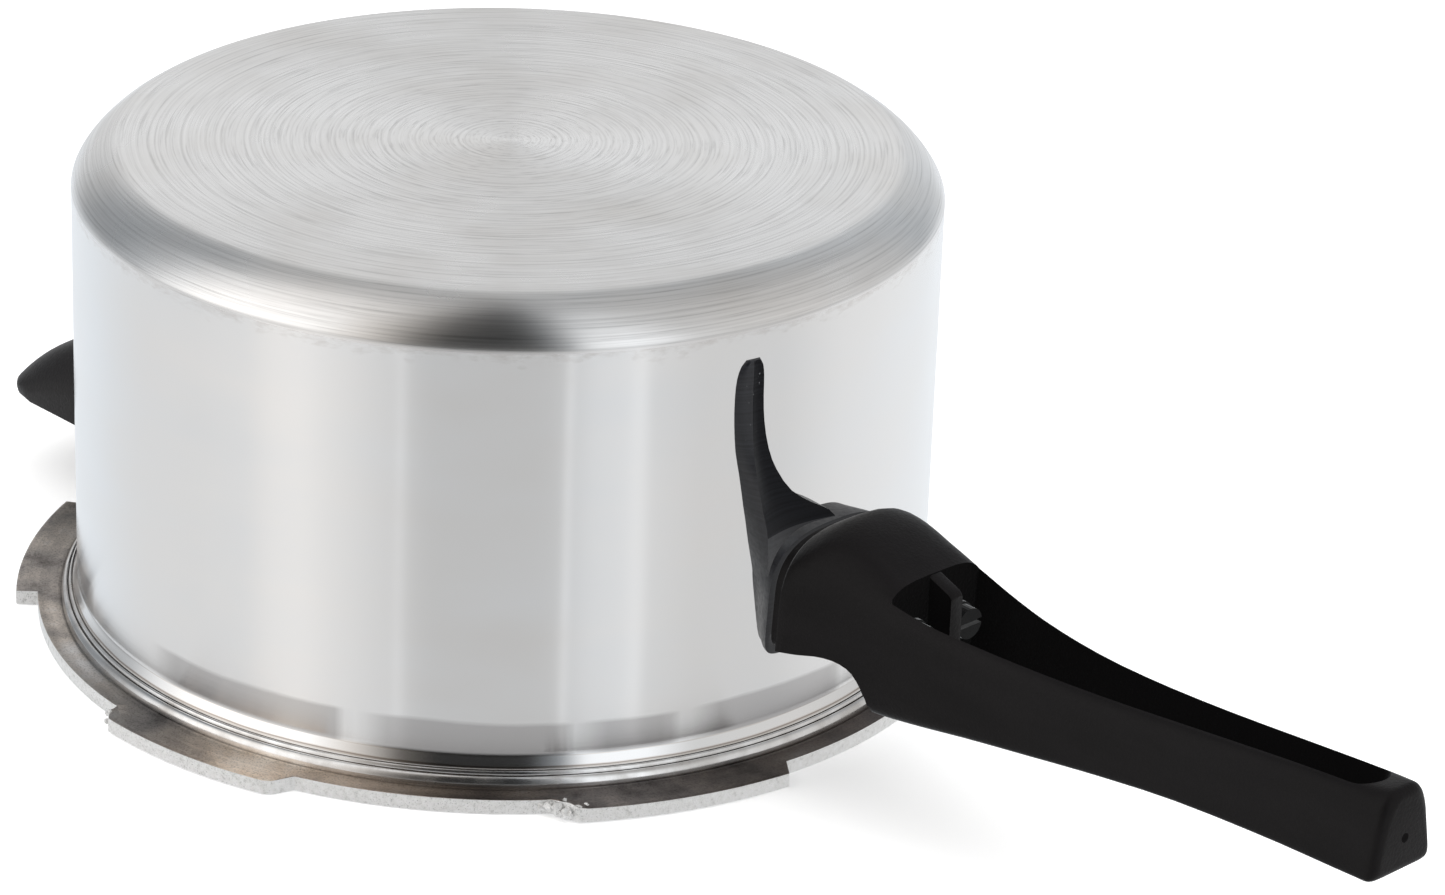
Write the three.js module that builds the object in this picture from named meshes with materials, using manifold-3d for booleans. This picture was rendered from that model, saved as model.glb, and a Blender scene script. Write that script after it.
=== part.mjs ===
// Body of a stovetop pressure cooker, standing upside down on its rim: a deep aluminium pan with
// locking lugs, a long side handle with its flame guard, and a helper handle opposite.
// Millimetres, +Z up. The origin is the centre of the pan's outer base, which faces up, and the
// long handle points along +X. Heights named "above the rim" count from the face the pan stands on.
import * as THREE from "three";
import { mergeVertices } from "three/addons/utils/BufferGeometryUtils.js";
import Module from "manifold-3d";

const wasm = await Module();
wasm.setup();

// ---- driving dimensions -------------------------------------------------------------------
const clearance = 0.3; // between pieces that touch

const pan = {
  radius: 105, // outside of the straight wall
  height: 122, // rim face to base
  wall: 3.2,
  base: 3.6,
  shoulderRise: 10.3, // height of the curved shoulder round the base
  shoulderRun: 10.9, // how far the shoulder comes in
  shoulderRoundness: 1.39, // 1 is a straight chamfer, 2 a quarter ellipse
  innerCorner: 9,
};
const rim = {
  flange: 9.8, // reach of the flange beyond the wall
  thickness: 3.8,
  collarReach: 3.6, // the thick ring between wall and flange
  collarHeight: 7.5,
  collarChamfer: 1,
  lugs: 6,
  lugReach: 5.3, // beyond the flange
  lugAngle: 26,
  firstLug: 39.5, // azimuth of the middle of the first lug
};
const screw = { shank: 4.8, head: 7.6, headHeight: 3, spacing: 14.8, grip: 16, slot: 1.2, slotDepth: 1.4 };
const washer = { overhang: 0.5, thickness: 1.1 }; // overhang is beyond the screw's head
const rivet = { shank: 4, head: 5.6, headHeight: 1.5, edge: 5 }; // edge is from the plate's side
const guard = {
  depth: 9.4, // from the wall to the open lip
  wall: 2.2,
  armGap: 2.3, // between the bracket's arm and the inside of the guard
  roomBelow: 3.7, // inside it, below and above the bracket's plate
  roomAbove: 1.8,
  lipFlat: 33.4,
  lipInset: 1, // the lip's crown is this much below the handle's
  finGap: 7.2, // from the fin's top to the shoulder
};
const arm = { edge: 1.5, thickness: 7.6, lift: 1.3, reach: 23 }; // above the handle's middle, from the wall
const bracket = { thickness: 2.5, sideGap: 1.1, margin: 1, aboveArm: 0.6, rivetGap: 0.8, tabWidth: 13 };
const handle = {
  groove: 2.6, // between the guard's lip and the root face
  length: 169,
  tipRadius: 2.5,
  floor: 4.5, // material left under the hand slot
  slotStart: 30, // from the root face
  slotEndGap: 6.5, // material left beyond the slot
  slotEndRound: 4,
  slotRim: 2, // thinnest side wall of the slot
  ribGap: 1.3, // between the washers and the rib that parts the two screw pockets
  ribLength: 7,
  ribDrop: 1.5, // below the crown
  noseHole: 3.4,
  noseHoleDepth: 4,
  noseHoleHeight: 50,
  spigotInset: 2.2, // the neck that enters the guard
  spigotEntry: 0.6,
};
const notch = { wall: 1.5, roof: 4.1, rise: 3, cornerRun: 15.5, cornerDrop: 7.4 }; // under the root
const helper = {
  width: 98,
  reach: 43, // from the wall to the farthest point
  flat: 21, // height of the flat side above the rim
  thickness: 26, // at the pan wall
  edge: 2.5, // thickness at the outer edge
  bow: 5, // how far the outer edge bows out
  cornerRadius: 10,
};
const helperBracket = { thickness: 2.5, wing: 10.5, inset: 3.5 }; // from the arm, and the handle's faces
const helperArm = { width: 15, lift: 7.5, thickness: 6, reach: 19 }; // lift is above the flat side
const helperScrew = { out: 11, counterboreGap: 0.9, grip: 4.5 }; // grip is the moulding held

// Sections of the long handle: distance from its root face, half width of the flat side and of
// the crown, height of the flat side and of the crown above the rim.
const handleShape = [
  { from: 0, flatHalf: 21.5, crownHalf: 19.5, flat: 29, crown: 63.6 },
  { from: 7, flatHalf: 21, crownHalf: 18.5, flat: 29, crown: 67.4 },
  { from: 14, flatHalf: 20, crownHalf: 17.5, flat: 29, crown: 67.2 },
  { from: 23, flatHalf: 18.6, crownHalf: 16.6, flat: 29, crown: 64.2 },
  { from: 31, flatHalf: 17.4, crownHalf: 16, flat: 29.2, crown: 60.8 },
  { from: 41, flatHalf: 16.6, crownHalf: 14.8, flat: 30.5, crown: 57.6 },
  { from: 55, flatHalf: 15.4, crownHalf: 12.4, flat: 32.6, crown: 55.6 },
  { from: 73, flatHalf: 14, crownHalf: 10.2, flat: 35, crown: 54.9 },
  { from: 91, flatHalf: 12.8, crownHalf: 8.8, flat: 37.4, crown: 55.4 },
  { from: 113, flatHalf: 11.7, crownHalf: 7.6, flat: 39.8, crown: 57 },
  { from: 139, flatHalf: 11, crownHalf: 6.9, flat: 41.2, crown: 59.4 },
  { from: 159, flatHalf: 10.6, crownHalf: 6.7, flat: 41.6, crown: 61.4 },
  { from: 169, flatHalf: 10.4, crownHalf: 6.6, flat: 41.8, crown: 62.4 },
];

// ---- values worked out from them ----------------------------------------------------------
const rad = THREE.MathUtils.degToRad;
const rimZ = -pan.height;
const above = (height) => rimZ + height; // height above the rim, as a Z
const below = above(-10); // cutting solids run from here
const beyond = above(90); // to here, clear of everything they cut
const wallClear = pan.radius + clearance; // where pieces that lie on the wall begin
const flangeRadius = pan.radius + rim.flange;
const guardLip = pan.radius + guard.depth;
const handleRoot = guardLip + handle.groove;
const handleTip = handleRoot + handle.length;
const slotStart = handleRoot + handle.slotStart;
const handleSections = handleShape.map(({ from, ...section }) => ({ x: handleRoot + from, ...section }));
const shankHole = screw.shank / 2 + clearance;
const washerRadius = screw.head / 2 + washer.overhang;
const armWidth = screw.spacing + screw.shank + 2 * arm.edge;
const armReach = pan.radius + arm.reach;
const armMiddle = (handleShape[0].flat + handleShape[0].crown) / 2 + arm.lift;
const armLow = armMiddle - arm.thickness / 2;
const armHigh = armMiddle + arm.thickness / 2;
const guardBackWidth = armWidth + 2 * (guard.armGap + guard.wall);
const bracketWidth = guardBackWidth - 2 * (guard.wall + bracket.sideGap);
const rivetLow = armLow - rivet.head / 2 - bracket.rivetGap;
const rivetHigh = armHigh + rivet.head / 2 + bracket.rivetGap;
const plateLow = rivetLow - rivet.head / 2 - bracket.margin;
const tabHigh = rivetHigh + rivet.shank / 2 + bracket.margin;
const guardBackFlat = plateLow - guard.wall - guard.roomBelow;
const guardBackCrown = tabHigh + guard.wall + guard.roomAbove;
const notchCeiling = armLow - clearance - notch.roof;
const finTop = pan.height - pan.shoulderRise - guard.finGap;
const helperReach = pan.radius + helper.reach;
const helperCrown = helper.flat + helper.thickness;
const helperArmLow = helper.flat + helperArm.lift;
const helperArmHigh = helperArmLow + helperArm.thickness;
const helperArmReach = pan.radius + helperArm.reach;
const helperScrewX = pan.radius + helperScrew.out;
const helperSeat = helperArmHigh + helperScrew.grip;
const helperPlateWidth = helperArm.width + 2 * helperBracket.wing;
const helperPlateLow = helper.flat + helperBracket.inset;
const helperPlateHigh = helperCrown - helperBracket.inset;

// ---- solids -------------------------------------------------------------------------------
function toSolid(geometry) {
  const bare = geometry.index ? geometry.toNonIndexed() : geometry.clone();
  bare.deleteAttribute("normal");
  bare.deleteAttribute("uv");
  const merged = mergeVertices(bare, 1e-4);
  const index = Array.from(merged.index.array);
  const kept = [];
  for (let i = 0; i < index.length; i += 3) {
    const [a, b, c] = index.slice(i, i + 3);
    if (a !== b && b !== c && c !== a) kept.push(a, b, c);
  }
  const vertProperties = merged.attributes.position.array;
  const make = (triVerts) =>
    new wasm.Manifold(new wasm.Mesh({ numProp: 3, vertProperties, triVerts }));
  const solid = make(new Uint32Array(kept));
  return solid.volume() < 0 ? make(new Uint32Array(kept.reverse())) : solid;
}

function toGeometry(solid) {
  const mesh = solid.getMesh();
  const geometry = new THREE.BufferGeometry();
  geometry.setAttribute("position", new THREE.BufferAttribute(mesh.vertProperties, 3));
  geometry.setIndex(new THREE.BufferAttribute(mesh.triVerts, 1));
  geometry.computeVertexNormals();
  return geometry;
}

// A body of revolution about Z from points (radius, z), first and last on the axis.
function turned(points, segments) {
  const outline = points.map(([r, z]) => new THREE.Vector2(r, z));
  return toSolid(new THREE.LatheGeometry(outline, segments).rotateX(Math.PI / 2));
}

// A cylinder along Z (or X) from one end to the other.
function rod(radius, from, to, x = 0, y = 0, segments = 24) {
  const shape = new THREE.CylinderGeometry(radius, radius, to - from, segments);
  return toSolid(shape.rotateX(Math.PI / 2).translate(x, y, (from + to) / 2));
}

function rodX(radius, from, to, y, z, segments = 24) {
  const shape = new THREE.CylinderGeometry(radius, radius, to - from, segments);
  return toSolid(shape.rotateZ(Math.PI / 2).translate((from + to) / 2, y, z));
}

function block(x0, x1, y0, y1, z0, z1) {
  const shape = new THREE.BoxGeometry(x1 - x0, y1 - y0, z1 - z0);
  return toSolid(shape.translate((x0 + x1) / 2, (y0 + y1) / 2, (z0 + z1) / 2));
}

// An outline in the XY plane, raised from z0 to z1.
function plan(shape, z0, z1, curveSegments = 10) {
  const options = { depth: z1 - z0, bevelEnabled: false, curveSegments };
  return toSolid(new THREE.ExtrudeGeometry(shape, options).translate(0, 0, z0));
}

// An outline in the XZ plane, drawn across the object from -halfWidth to +halfWidth.
function profile(shape, halfWidth, curveSegments = 10) {
  const options = { depth: 2 * halfWidth, bevelEnabled: false, curveSegments };
  const solid = new THREE.ExtrudeGeometry(shape, options).rotateX(Math.PI / 2);
  return toSolid(solid.translate(0, halfWidth, 0));
}

// An outline in the YZ plane, drawn along X.
function acrossX(shape, x0, x1) {
  const turn = new THREE.Matrix4().set(0, 0, 1, x0, 1, 0, 0, 0, 0, 1, 0, 0, 0, 0, 0, 1);
  const options = { depth: x1 - x0, bevelEnabled: false, curveSegments: 10 };
  return toSolid(new THREE.ExtrudeGeometry(shape, options).applyMatrix4(turn));
}

// A ring sector about Z, its middle at azimuth 0.
function sector(inner, outer, degrees, z0, z1) {
  const half = rad(degrees) / 2;
  const shape = new THREE.Shape();
  shape.absarc(0, 0, outer, -half, half, false);
  shape.absarc(0, 0, inner, half, -half, true);
  return plan(shape, z0, z1, 12);
}

const joined = (solids) => solids.reduce((all, next) => all.add(next));
const turnedAbout = (solid, degrees) => solid.rotate([0, 0, degrees]);

// ---- loaf sections: a flat side below, an arched crown above --------------------------------
function sectionAt(sections, x) {
  const next = sections.findIndex((s) => s.x >= x);
  if (next <= 0) return sections[next < 0 ? sections.length - 1 : 0];
  const [a, b] = [sections[next - 1], sections[next]];
  const t = (x - a.x) / (b.x - a.x);
  const mix = (key) => THREE.MathUtils.lerp(a[key], b[key], t);
  const keys = ["flatHalf", "crownHalf", "flat", "crown"];
  return Object.fromEntries(keys.map((key) => [key, mix(key)]));
}

const archPower = 2.7;
const flatPower = 9;

function loafPoint(section, angle, inset) {
  const [c, s] = [Math.cos(angle), Math.sin(angle)];
  const power = 2 / (s > 0 ? archPower : flatPower);
  const across = Math.sign(c) * Math.abs(c) ** power;
  const up = Math.sign(s) * Math.abs(s) ** power;
  const half = THREE.MathUtils.lerp(section.flatHalf, section.crownHalf, (up + 1) / 2) - inset;
  const middle = (section.flat + section.crown) / 2;
  const tall = (section.crown - section.flat) / 2 - inset;
  return [half * across, above(middle + tall * up)];
}

// A loaf-shaped bar through the stations xs, inset all round by inset(x).
function loaf(sections, xs, inset = () => 0, around = 40) {
  const shape = new THREE.CylinderGeometry(1, 1, 1, around, xs.length - 1);
  const at = shape.attributes.position;
  for (let i = 0; i < at.count; i += 1) {
    const x = xs[Math.round((at.getY(i) + 0.5) * (xs.length - 1))];
    const section = sectionAt(sections, x);
    const angle = Math.atan2(at.getZ(i), at.getX(i));
    const spread = Math.hypot(at.getX(i), at.getZ(i));
    const [y, z] = loafPoint(section, angle, inset(x));
    const centre = above((section.flat + section.crown) / 2);
    at.setXYZ(i, x, y * spread, centre + (z - centre) * spread);
  }
  return toSolid(shape);
}

// ---- pan ----------------------------------------------------------------------------------
function shoulderPoints() {
  const steps = 6;
  const power = 2 / pan.shoulderRoundness;
  return Array.from({ length: steps + 1 }, (_, i) => {
    const angle = (i / steps) * (Math.PI / 2);
    const r = pan.radius - pan.shoulderRun * (1 - Math.cos(angle) ** power);
    return [r, -pan.shoulderRise * (1 - Math.sin(angle) ** power)];
  });
}

function innerCornerPoints(innerRadius) {
  const steps = 5;
  const centre = [innerRadius - pan.innerCorner, -pan.base - pan.innerCorner];
  return Array.from({ length: steps + 1 }, (_, i) => {
    const angle = Math.PI / 2 - (i / steps) * (Math.PI / 2);
    const reach = pan.innerCorner;
    return [centre[0] + reach * Math.cos(angle), centre[1] + reach * Math.sin(angle)];
  });
}

function panSolid() {
  const innerRadius = pan.radius - pan.wall;
  return turned(
    [
      [0, -pan.base],
      ...innerCornerPoints(innerRadius),
      [innerRadius, rimZ],
      [pan.radius, rimZ],
      ...shoulderPoints(),
      [0, 0],
    ],
    96,
  );
}

// The locking rim: flange, thick collar against the wall, and the lugs that hold a lid.
function rimSolid() {
  const ring = pan.radius + rim.collarReach;
  const outline = [
    [wallClear, rimZ],
    [flangeRadius, rimZ],
    [flangeRadius, above(rim.thickness)],
    [ring, above(rim.thickness)],
    [ring, above(rim.collarHeight - rim.collarChamfer)],
    [wallClear, above(rim.collarHeight)],
    [wallClear, rimZ],
  ];
  const lugRoot = flangeRadius - rim.flange / 2;
  const lug = sector(lugRoot, flangeRadius + rim.lugReach, rim.lugAngle, rimZ, above(rim.thickness));
  const pitch = 360 / rim.lugs;
  const lugs = Array.from({ length: rim.lugs }, (_, i) => turnedAbout(lug, rim.firstLug + i * pitch));
  return joined([turned(outline, 96), ...lugs]);
}

// ---- flame guard --------------------------------------------------------------------------
// The collar carries the handle's root outline to the pan wall and narrows towards it. A fin
// rises from one side of it along the wall and sweeps down to the top of the collar.
const guardOuter = {
  ...handleSections[0],
  x: guardLip,
  flat: guard.lipFlat,
  crown: handleSections[0].crown - guard.lipInset,
};
const guardBack = {
  x: pan.radius - 1,
  flatHalf: guardBackWidth / 2,
  crownHalf: guardBackWidth / 2,
  flat: guardBackFlat,
  crown: guardBackCrown,
};
const guardSections = [guardBack, guardOuter];
const insideWall = pan.radius - 14; // blanks start here, and the wall's own shape cuts them back
const finRoot = guardBackFlat + 9.5;
const finHeight = (share) => above(THREE.MathUtils.lerp(guardBackCrown, finTop, share));

function finShape() {
  const outline = new THREE.Shape();
  const start = above(finRoot + 5);
  outline.moveTo(-12, start);
  outline.lineTo(-17.5, above(finRoot + 10));
  outline.quadraticCurveTo(-22.6, finHeight(0.28), -22.6, finHeight(0.73));
  outline.quadraticCurveTo(-22, above(finTop - 1), -19.5, above(finTop));
  outline.lineTo(-17, above(finTop));
  outline.quadraticCurveTo(-16, above(finTop - 1), -15.8, finHeight(0.706));
  outline.bezierCurveTo(-14.8, finHeight(0.33), -10, finHeight(0.165), 4, above(guardBackCrown - 1));
  outline.lineTo(4, start);
  return outline;
}

// The fin stands proud of the wall by much at the collar and little at its tip.
function finEnvelope() {
  const top = above(finTop + 1);
  const reach = [
    [guard.depth - 0.2, above(finRoot)],
    [guard.depth - 0.8, finHeight(0.047)],
    [6.2, finHeight(0.188)],
    [3.9, finHeight(0.353)],
    [2.3, finHeight(0.541)],
    [1.5, finHeight(0.776)],
    [1.2, top],
  ];
  const outer = reach.map(([proud, z]) => [wallClear + proud, z]);
  return turned([[0, above(finRoot)], ...outer, [0, top]], 128);
}

function guardSolid() {
  const xs = [insideWall, guardBack.x, guardLip];
  const collar = loaf(guardSections, xs);
  const finBlank = acrossX(finShape(), pan.radius - 20, pan.radius + 20);
  const fin = finBlank.intersect(finEnvelope());
  const hollow = loaf(guardSections, [...xs, guardLip + 1], () => guard.wall);
  const wallCut = rod(wallClear, below, 0, 0, 0, 192);
  return collar.add(fin).subtract(hollow).subtract(wallCut);
}

// ---- long handle --------------------------------------------------------------------------
function stationsAlong(from, to) {
  const inner = handleSections.map((s) => s.x).filter((x) => x > from && x < to);
  return [from, ...inner, to];
}

const slotFloor = (x) => above(sectionAt(handleSections, x).flat + handle.floor);

function slotSolid() {
  const end = handleTip - handle.slotEndGap;
  const outline = new THREE.Shape();
  const xs = stationsAlong(slotStart, end - handle.slotEndRound);
  const half = (x) => sectionAt(handleSections, x).crownHalf - handle.slotRim;
  const roundFrom = xs.at(-1);
  xs.forEach((x, i) => outline[i ? "lineTo" : "moveTo"](x, half(x)));
  outline.quadraticCurveTo(end, half(end), end, 0);
  outline.quadraticCurveTo(end, -half(end), roundFrom, -half(roundFrom));
  xs.slice(0, -1).reverse().forEach((x) => outline.lineTo(x, -half(x)));
  const depth = new THREE.Shape();
  depth.moveTo(slotStart - 1, beyond);
  stationsAlong(slotStart - 1, end + 1).forEach((x) => depth.lineTo(x, slotFloor(x)));
  depth.lineTo(end + 1, beyond);
  return plan(outline, below, beyond).intersect(profile(depth, handle.length));
}

// The root is cut away below, so that the handle clears the rim and a lid's skirt.
function rootNotch() {
  const cut = new THREE.Shape();
  const start = handleRoot - 10;
  const end = slotStart - notch.wall;
  const bend = end - notch.cornerRun;
  const rootHeight = above(notchCeiling - notch.rise);
  const cornerFoot = above(notchCeiling - notch.cornerDrop);
  cut.moveTo(start, rootHeight);
  cut.lineTo(handleRoot, rootHeight);
  cut.lineTo(bend, above(notchCeiling));
  const controls = [bend + 10, above(notchCeiling + 1), bend + 13, above(notchCeiling - 2.4)];
  cut.bezierCurveTo(...controls, bend + 14, cornerFoot);
  cut.lineTo(end, below);
  cut.lineTo(start, below);
  return profile(cut, 2 * handleSections[0].flatHalf);
}

function handleSolid() {
  const roundFrom = handleTip - handle.tipRadius;
  const tipStations = [roundFrom, handleTip - handle.tipRadius * 0.3, handleTip];
  const rounding = (x) => {
    const into = Math.max(0, x - roundFrom) / handle.tipRadius;
    return handle.tipRadius * (1 - Math.sqrt(Math.max(0, 1 - into * into)));
  };
  const bodyStations = stationsAlong(handleRoot, roundFrom);
  const body = loaf(handleSections, [...bodyStations, ...tipStations.slice(1)], rounding);
  const spigotRoot = { ...handleSections[0], flat: guard.lipFlat };
  const spigotFrom = guardLip - handle.spigotEntry;
  const spigotInset = guard.wall + handle.spigotInset;
  const spigot = loaf([spigotRoot], [spigotFrom, handleRoot + 3], () => spigotInset);
  const armHalf = armWidth / 2 + clearance;
  const socketEnd = armReach + clearance;
  const socketZ = [above(armLow - clearance), above(armHigh + clearance)];
  const socket = block(spigotFrom - 1, socketEnd, -armHalf, armHalf, ...socketZ);
  const ribHalf = screw.spacing / 2 - washerRadius - handle.ribGap;
  const ribTop = above(sectionAt(handleSections, slotStart).crown - handle.ribDrop);
  const ribEnd = slotStart + handle.ribLength;
  const rib = block(slotStart - 1, ribEnd, -ribHalf, ribHalf, slotFloor(slotStart) - 1, ribTop);
  const pilotFrom = handleTip - handle.noseHoleDepth;
  const pilot = rodX(handle.noseHole / 2, pilotFrom, handleTip + 1, 0, above(handle.noseHoleHeight));
  const screwHoles = screwSides.map((side) => {
    return rodX(shankHole, socketEnd - 1, slotStart + 1, (side * screw.spacing) / 2, above(armMiddle));
  });
  return body
    .subtract(rootNotch())
    .add(spigot)
    .subtract(slotSolid())
    .add(rib)
    .subtract(joined([socket, pilot, ...screwHoles]));
}

// ---- bracket, rivets and screws of the long handle ------------------------------------------
const screwSides = [-1, 1];
const rivetY = bracketWidth / 2 - rivet.edge;
const rivetPlaces = [
  { y: -rivetY, height: rivetLow },
  { y: rivetY, height: rivetLow },
  { y: 0, height: rivetHigh },
];

// A plate bent to the pan wall: a ring sector cut to its height.
function wallPlate(width, thickness, low, high) {
  const degrees = THREE.MathUtils.radToDeg(width / pan.radius);
  return sector(wallClear, wallClear + thickness, degrees, above(low), above(high));
}

function rivetHole(y, height) {
  return rodX(rivet.shank / 2 + clearance, pan.radius - 30, pan.radius + 20, y, above(height));
}

function bracketSolid() {
  const plate = wallPlate(bracketWidth, bracket.thickness, plateLow, armHigh + bracket.aboveArm);
  const tab = wallPlate(bracket.tabWidth, bracket.thickness, plateLow, tabHigh);
  const barFrom = wallClear + bracket.thickness / 2;
  const bar = block(barFrom, armReach, -armWidth / 2, armWidth / 2, above(armLow), above(armHigh));
  const tapped = screwSides.map((side) => {
    const y = (side * screw.spacing) / 2;
    return rodX(shankHole, armReach - screw.grip, armReach + 1, y, above(armMiddle));
  });
  const holes = rivetPlaces.map(({ y, height }) => rivetHole(y, height));
  return joined([plate, tab, bar]).subtract(joined([...tapped, ...holes]));
}

// A rivet along X through wall and plate, with a domed head at each end.
function rivetSolid(y, height, plateThickness) {
  const wallAt = (radius) => Math.sqrt(radius * radius - y * y);
  const outside = wallAt(wallClear + plateThickness) + clearance;
  const inside = wallAt(pan.radius - pan.wall) - clearance;
  const dome = (from, outward) => {
    const points = [
      new THREE.Vector2(0, 0),
      new THREE.Vector2(rivet.head / 2, 0),
      new THREE.Vector2(rivet.head / 2 - 0.2, rivet.headHeight * 0.45),
      new THREE.Vector2(rivet.head / 3.2, rivet.headHeight * 0.85),
      new THREE.Vector2(0, rivet.headHeight),
    ];
    const cap = new THREE.LatheGeometry(points, 20).rotateZ((-outward * Math.PI) / 2);
    return toSolid(cap.translate(from, y, above(height)));
  };
  const slope = ((rivet.head / 2) * Math.abs(y)) / pan.radius; // the wall falls away under the head
  const shank = rodX(rivet.shank / 2, inside - 1, outside + 1, y, above(height), 20);
  return joined([shank, dome(outside + slope, 1), dome(inside - slope, -1)]);
}

function screwSolid(side) {
  const headFrom = slotStart + clearance + washer.thickness + clearance;
  const top = headFrom + screw.headHeight;
  const y = (side * screw.spacing) / 2;
  const z = above(armMiddle);
  const head = rodX(screw.head / 2, headFrom, top, y, z, 28);
  const shank = rodX(screw.shank / 2, armReach - screw.grip + clearance, headFrom + 0.5, y, z);
  const half = screw.slot / 2;
  const slot = block(top - screw.slotDepth, top + 1, y - screw.head, y + screw.head, z - half, z + half);
  return head.add(shank).subtract(slot);
}

function washerSolid(side) {
  const y = (side * screw.spacing) / 2;
  const from = slotStart + clearance;
  const to = from + washer.thickness;
  const disc = rodX(washerRadius, from, to, y, above(armMiddle), 28);
  return disc.subtract(rodX(shankHole, from - 1, to + 1, y, above(armMiddle)));
}

// ---- helper handle: everything is drawn along +X and turned round to the other side ---------
function helperSolid() {
  const half = helper.width / 2;
  const inner = pan.radius - 12;
  const heightAt = (share) => above(helper.flat + helper.thickness * share);
  const side = new THREE.Shape();
  side.moveTo(inner, above(helper.flat));
  side.lineTo(helperReach, above(helper.flat));
  side.lineTo(helperReach, above(helper.flat + helper.edge));
  side.bezierCurveTo(
    helperReach - 8,
    heightAt(0.5),
    helperReach - 20,
    heightAt(0.85),
    pan.radius,
    heightAt(1),
  );
  side.lineTo(inner, heightAt(1));
  const outline = new THREE.Shape();
  const corner = helper.cornerRadius;
  const cornerX = helperReach - helper.bow;
  const edgeX = helperReach - helper.bow * 0.6;
  outline.moveTo(inner - 10, -half);
  outline.lineTo(cornerX - corner, -half);
  outline.quadraticCurveTo(cornerX, -half, edgeX, -half + corner);
  outline.quadraticCurveTo(helperReach, 0, edgeX, half - corner);
  outline.quadraticCurveTo(cornerX, half, cornerX - corner, half);
  outline.lineTo(inner - 10, half);
  const body = profile(side, half).intersect(plan(outline, below, beyond));
  const wallCut = rod(wallClear, below, 0, 0, 0, 192);
  const armHalf = helperArm.width / 2 + clearance;
  const armTop = above(helperArmHigh + clearance);
  const socketEnd = helperArmReach + clearance;
  const socket = block(inner, socketEnd, -armHalf, armHalf, above(helperArmLow - clearance), armTop);
  const plateRoom = sector(
    pan.radius - 1,
    wallClear + helperBracket.thickness + 2 * clearance + rivet.headHeight + rivet.head / 6,
    THREE.MathUtils.radToDeg((helperPlateWidth + 4) / pan.radius),
    above(helperPlateLow - 1),
    above(helperPlateHigh + 1),
  );
  const seat = above(helperSeat);
  const bore = rod(washerRadius + helperScrew.counterboreGap, seat, beyond, helperScrewX, 0, 32);
  const hole = rod(shankHole, armTop - 1, seat + 1, helperScrewX, 0);
  return body.subtract(joined([wallCut, socket, plateRoom, bore, hole]));
}

const helperRivetPlaces = [-1, 1].map((side) => ({
  y: side * (helperPlateWidth / 2 - rivet.edge),
  height: (helperPlateLow + helperPlateHigh) / 2,
}));

function helperBracketSolid() {
  const plate = wallPlate(helperPlateWidth, helperBracket.thickness, helperPlateLow, helperPlateHigh);
  const half = helperArm.width / 2;
  const barFrom = wallClear + helperBracket.thickness / 2;
  const bar = block(barFrom, helperArmReach, -half, half, above(helperArmLow), above(helperArmHigh));
  const tapped = rod(shankHole, above(helperArmLow - 1), above(helperArmHigh + 1), helperScrewX, 0);
  const holes = helperRivetPlaces.map(({ y, height }) => rivetHole(y, height));
  return plate.add(bar).subtract(joined([tapped, ...holes]));
}

function helperScrewSolid() {
  const headFrom = above(helperSeat) + clearance + washer.thickness + clearance;
  const top = headFrom + screw.headHeight;
  const head = rod(screw.head / 2, headFrom, top, helperScrewX, 0, 28);
  const shank = rod(screw.shank / 2, above(helperArmLow + 1), headFrom + 0.5, helperScrewX, 0);
  const x = [helperScrewX - screw.head, helperScrewX + screw.head];
  const half = screw.slot / 2;
  const slot = block(...x, -half, half, top - screw.slotDepth, top + 1);
  return head.add(shank).subtract(slot);
}

function helperWasherSolid() {
  const from = above(helperSeat) + clearance;
  const to = from + washer.thickness;
  const disc = rod(washerRadius, from, to, helperScrewX, 0, 28);
  return disc.subtract(rod(shankHole, from - 1, to + 1, helperScrewX, 0));
}

// ---- materials and assembly ---------------------------------------------------------------
const aluminium = new THREE.MeshStandardMaterial({ color: 0xdfe2e4, metalness: 1, roughness: 0.22 });
const phenolic = new THREE.MeshStandardMaterial({ color: 0x1f1f21, metalness: 0, roughness: 0.55 });
const enamel = new THREE.MeshStandardMaterial({ color: 0x3d4147, metalness: 0.1, roughness: 0.5 });
const steel = new THREE.MeshStandardMaterial({ color: 0xb9bdc1, metalness: 1, roughness: 0.35 });

const cooker = new THREE.Group();

function place(name, solid, material, azimuth = 0) {
  const mesh = new THREE.Mesh(toGeometry(solid), material);
  mesh.name = name;
  mesh.rotation.z = rad(azimuth);
  cooker.add(mesh);
}

const panHoles = [
  ...rivetPlaces.map(({ y, height }) => rivetHole(y, height)),
  ...helperRivetPlaces.map(({ y, height }) => turnedAbout(rivetHole(y, height), 180)),
];
place("pan", panSolid().subtract(joined(panHoles)), aluminium);
place("locking_rim", rimSolid(), aluminium);
place("main_handle", handleSolid(), phenolic);
place("flame_guard", guardSolid(), enamel);
place("handle_bracket", bracketSolid(), steel);
rivetPlaces.forEach(({ y, height }, i) => {
  place(`handle_bracket_rivet_${i + 1}`, rivetSolid(y, height, bracket.thickness), aluminium);
});
screwSides.forEach((side) => {
  const word = side < 0 ? "near" : "far";
  place(`handle_screw_${word}`, screwSolid(side), steel);
  place(`handle_washer_${word}`, washerSolid(side), steel);
});
place("helper_handle", helperSolid(), phenolic, 180);
place("helper_bracket", helperBracketSolid(), steel, 180);
helperRivetPlaces.forEach(({ y, height }, i) => {
  const solid = rivetSolid(y, height, helperBracket.thickness);
  place(`helper_bracket_rivet_${i + 1}`, solid, aluminium, 180);
});
place("helper_screw", helperScrewSolid(), steel, 180);
place("helper_washer", helperWasherSolid(), steel, 180);

export default cooker;
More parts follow.
